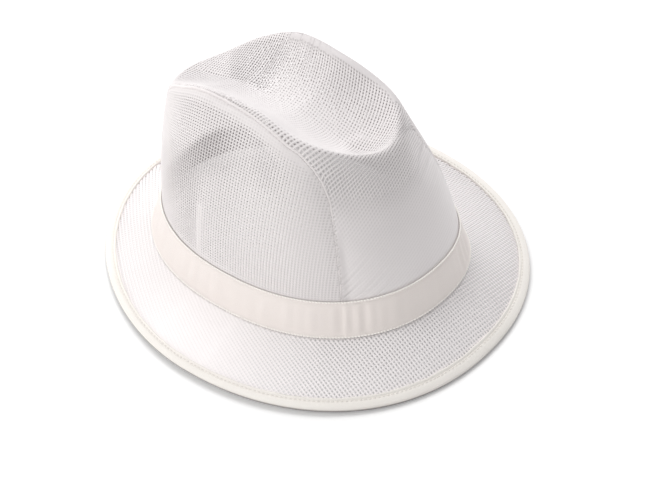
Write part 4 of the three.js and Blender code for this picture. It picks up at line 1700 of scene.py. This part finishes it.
class TRILBY_OT_stage(bpy.types.Operator):
    """The floor, the soft studio light and the camera."""

    bl_idname = "trilby.stage"
    bl_label = "Stage"

    def execute(self, context):
        stage = context.scene.trilby_stage
        half = FLOOR_HALF_WIDTH
        mesh = bpy.data.meshes.new("floor")
        corners = [(-half, -half, 0), (half, -half, 0), (half, half, 0), (-half, half, 0)]
        mesh.from_pydata(corners, [], [(0, 1, 2, 3)])
        material = bpy.data.materials.new("floor_paper")
        material.use_nodes = True
        shader = material.node_tree.nodes["Principled BSDF"]
        shader.inputs["Base Color"].default_value = (*stage.floor_colour, 1.0)
        shader.inputs["Roughness"].default_value = FLOOR_ROUGHNESS
        shader.inputs["Specular IOR Level"].default_value = FLOOR_SPECULAR
        shader.inputs["Emission Color"].default_value = (1.0, 1.0, 1.0, 1.0)
        shader.inputs["Emission Strength"].default_value = stage.floor_glow
        mesh.materials.append(material)
        floor = bpy.data.objects.new("floor", mesh)
        context.scene.collection.objects.link(floor)
        floor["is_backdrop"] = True
        world = bpy.data.worlds.new("studio")
        world.use_nodes = True
        sky = world.node_tree.nodes["Background"]
        sky.inputs["Color"].default_value = (1.0, 1.0, 1.0, 1.0)
        sky.inputs["Strength"].default_value = stage.sky
        context.scene.world = world
        make_area_light("key_light", KEY_LIGHT, stage.key)
        make_area_light("side_light", SIDE_LIGHT, stage.side)
        context.scene.view_settings.view_transform = "Standard"
        make_camera()
        return {"FINISHED"}


OPERATORS = (
    TRILBY_OT_centre_panel,
    TRILBY_OT_side_panels,
    TRILBY_OT_brim,
    TRILBY_OT_seams,
    TRILBY_OT_band,
    TRILBY_OT_tape,
    TRILBY_OT_stage,
)


class TRILBY_PT_panel(bpy.types.Panel):
    """Lists the hat's settings and pieces."""

    bl_label = "Trilby"
    bl_space_type = "VIEW_3D"
    bl_region_type = "UI"
    bl_category = "Trilby"

    def draw(self, context):
        for settings in SETTINGS:
            group = getattr(context.scene, settings)
            for name in group.bl_rna.properties.keys():
                if name not in ("rna_type", "name"):
                    self.layout.prop(group, name)
        for operator in OPERATORS:
            self.layout.operator(operator.bl_idname)


SETTINGS = {
    "trilby_net": NetSettings,
    "trilby_cloth": ClothSettings,
    "trilby_stage": StageSettings,
}


def register():
    """Registers the settings, operators and panel."""
    for name, group in SETTINGS.items():
        bpy.utils.register_class(group)
        setattr(bpy.types.Scene, name, bpy.props.PointerProperty(type=group))
    for operator in OPERATORS:
        bpy.utils.register_class(operator)
    bpy.utils.register_class(TRILBY_PT_panel)


def unregister():
    """Removes what register added."""
    bpy.utils.unregister_class(TRILBY_PT_panel)
    for operator in reversed(OPERATORS):
        bpy.utils.unregister_class(operator)
    for name, group in SETTINGS.items():
        delattr(bpy.types.Scene, name)
        bpy.utils.unregister_class(group)


def main():
    """Builds every piece in order."""
    register()
    bpy.ops.trilby.stage()
    bpy.ops.trilby.centre_panel()
    bpy.ops.trilby.side_panels()
    bpy.ops.trilby.brim()
    bpy.ops.trilby.seams()
    bpy.ops.trilby.band()
    bpy.ops.trilby.tape()
    boxes = {"cad": CAD_BOX, "visual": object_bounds()}
    sizes = {name: [list(corner) for corner in box] for name, box in boxes.items()}


if __name__ == "__main__":
    main()
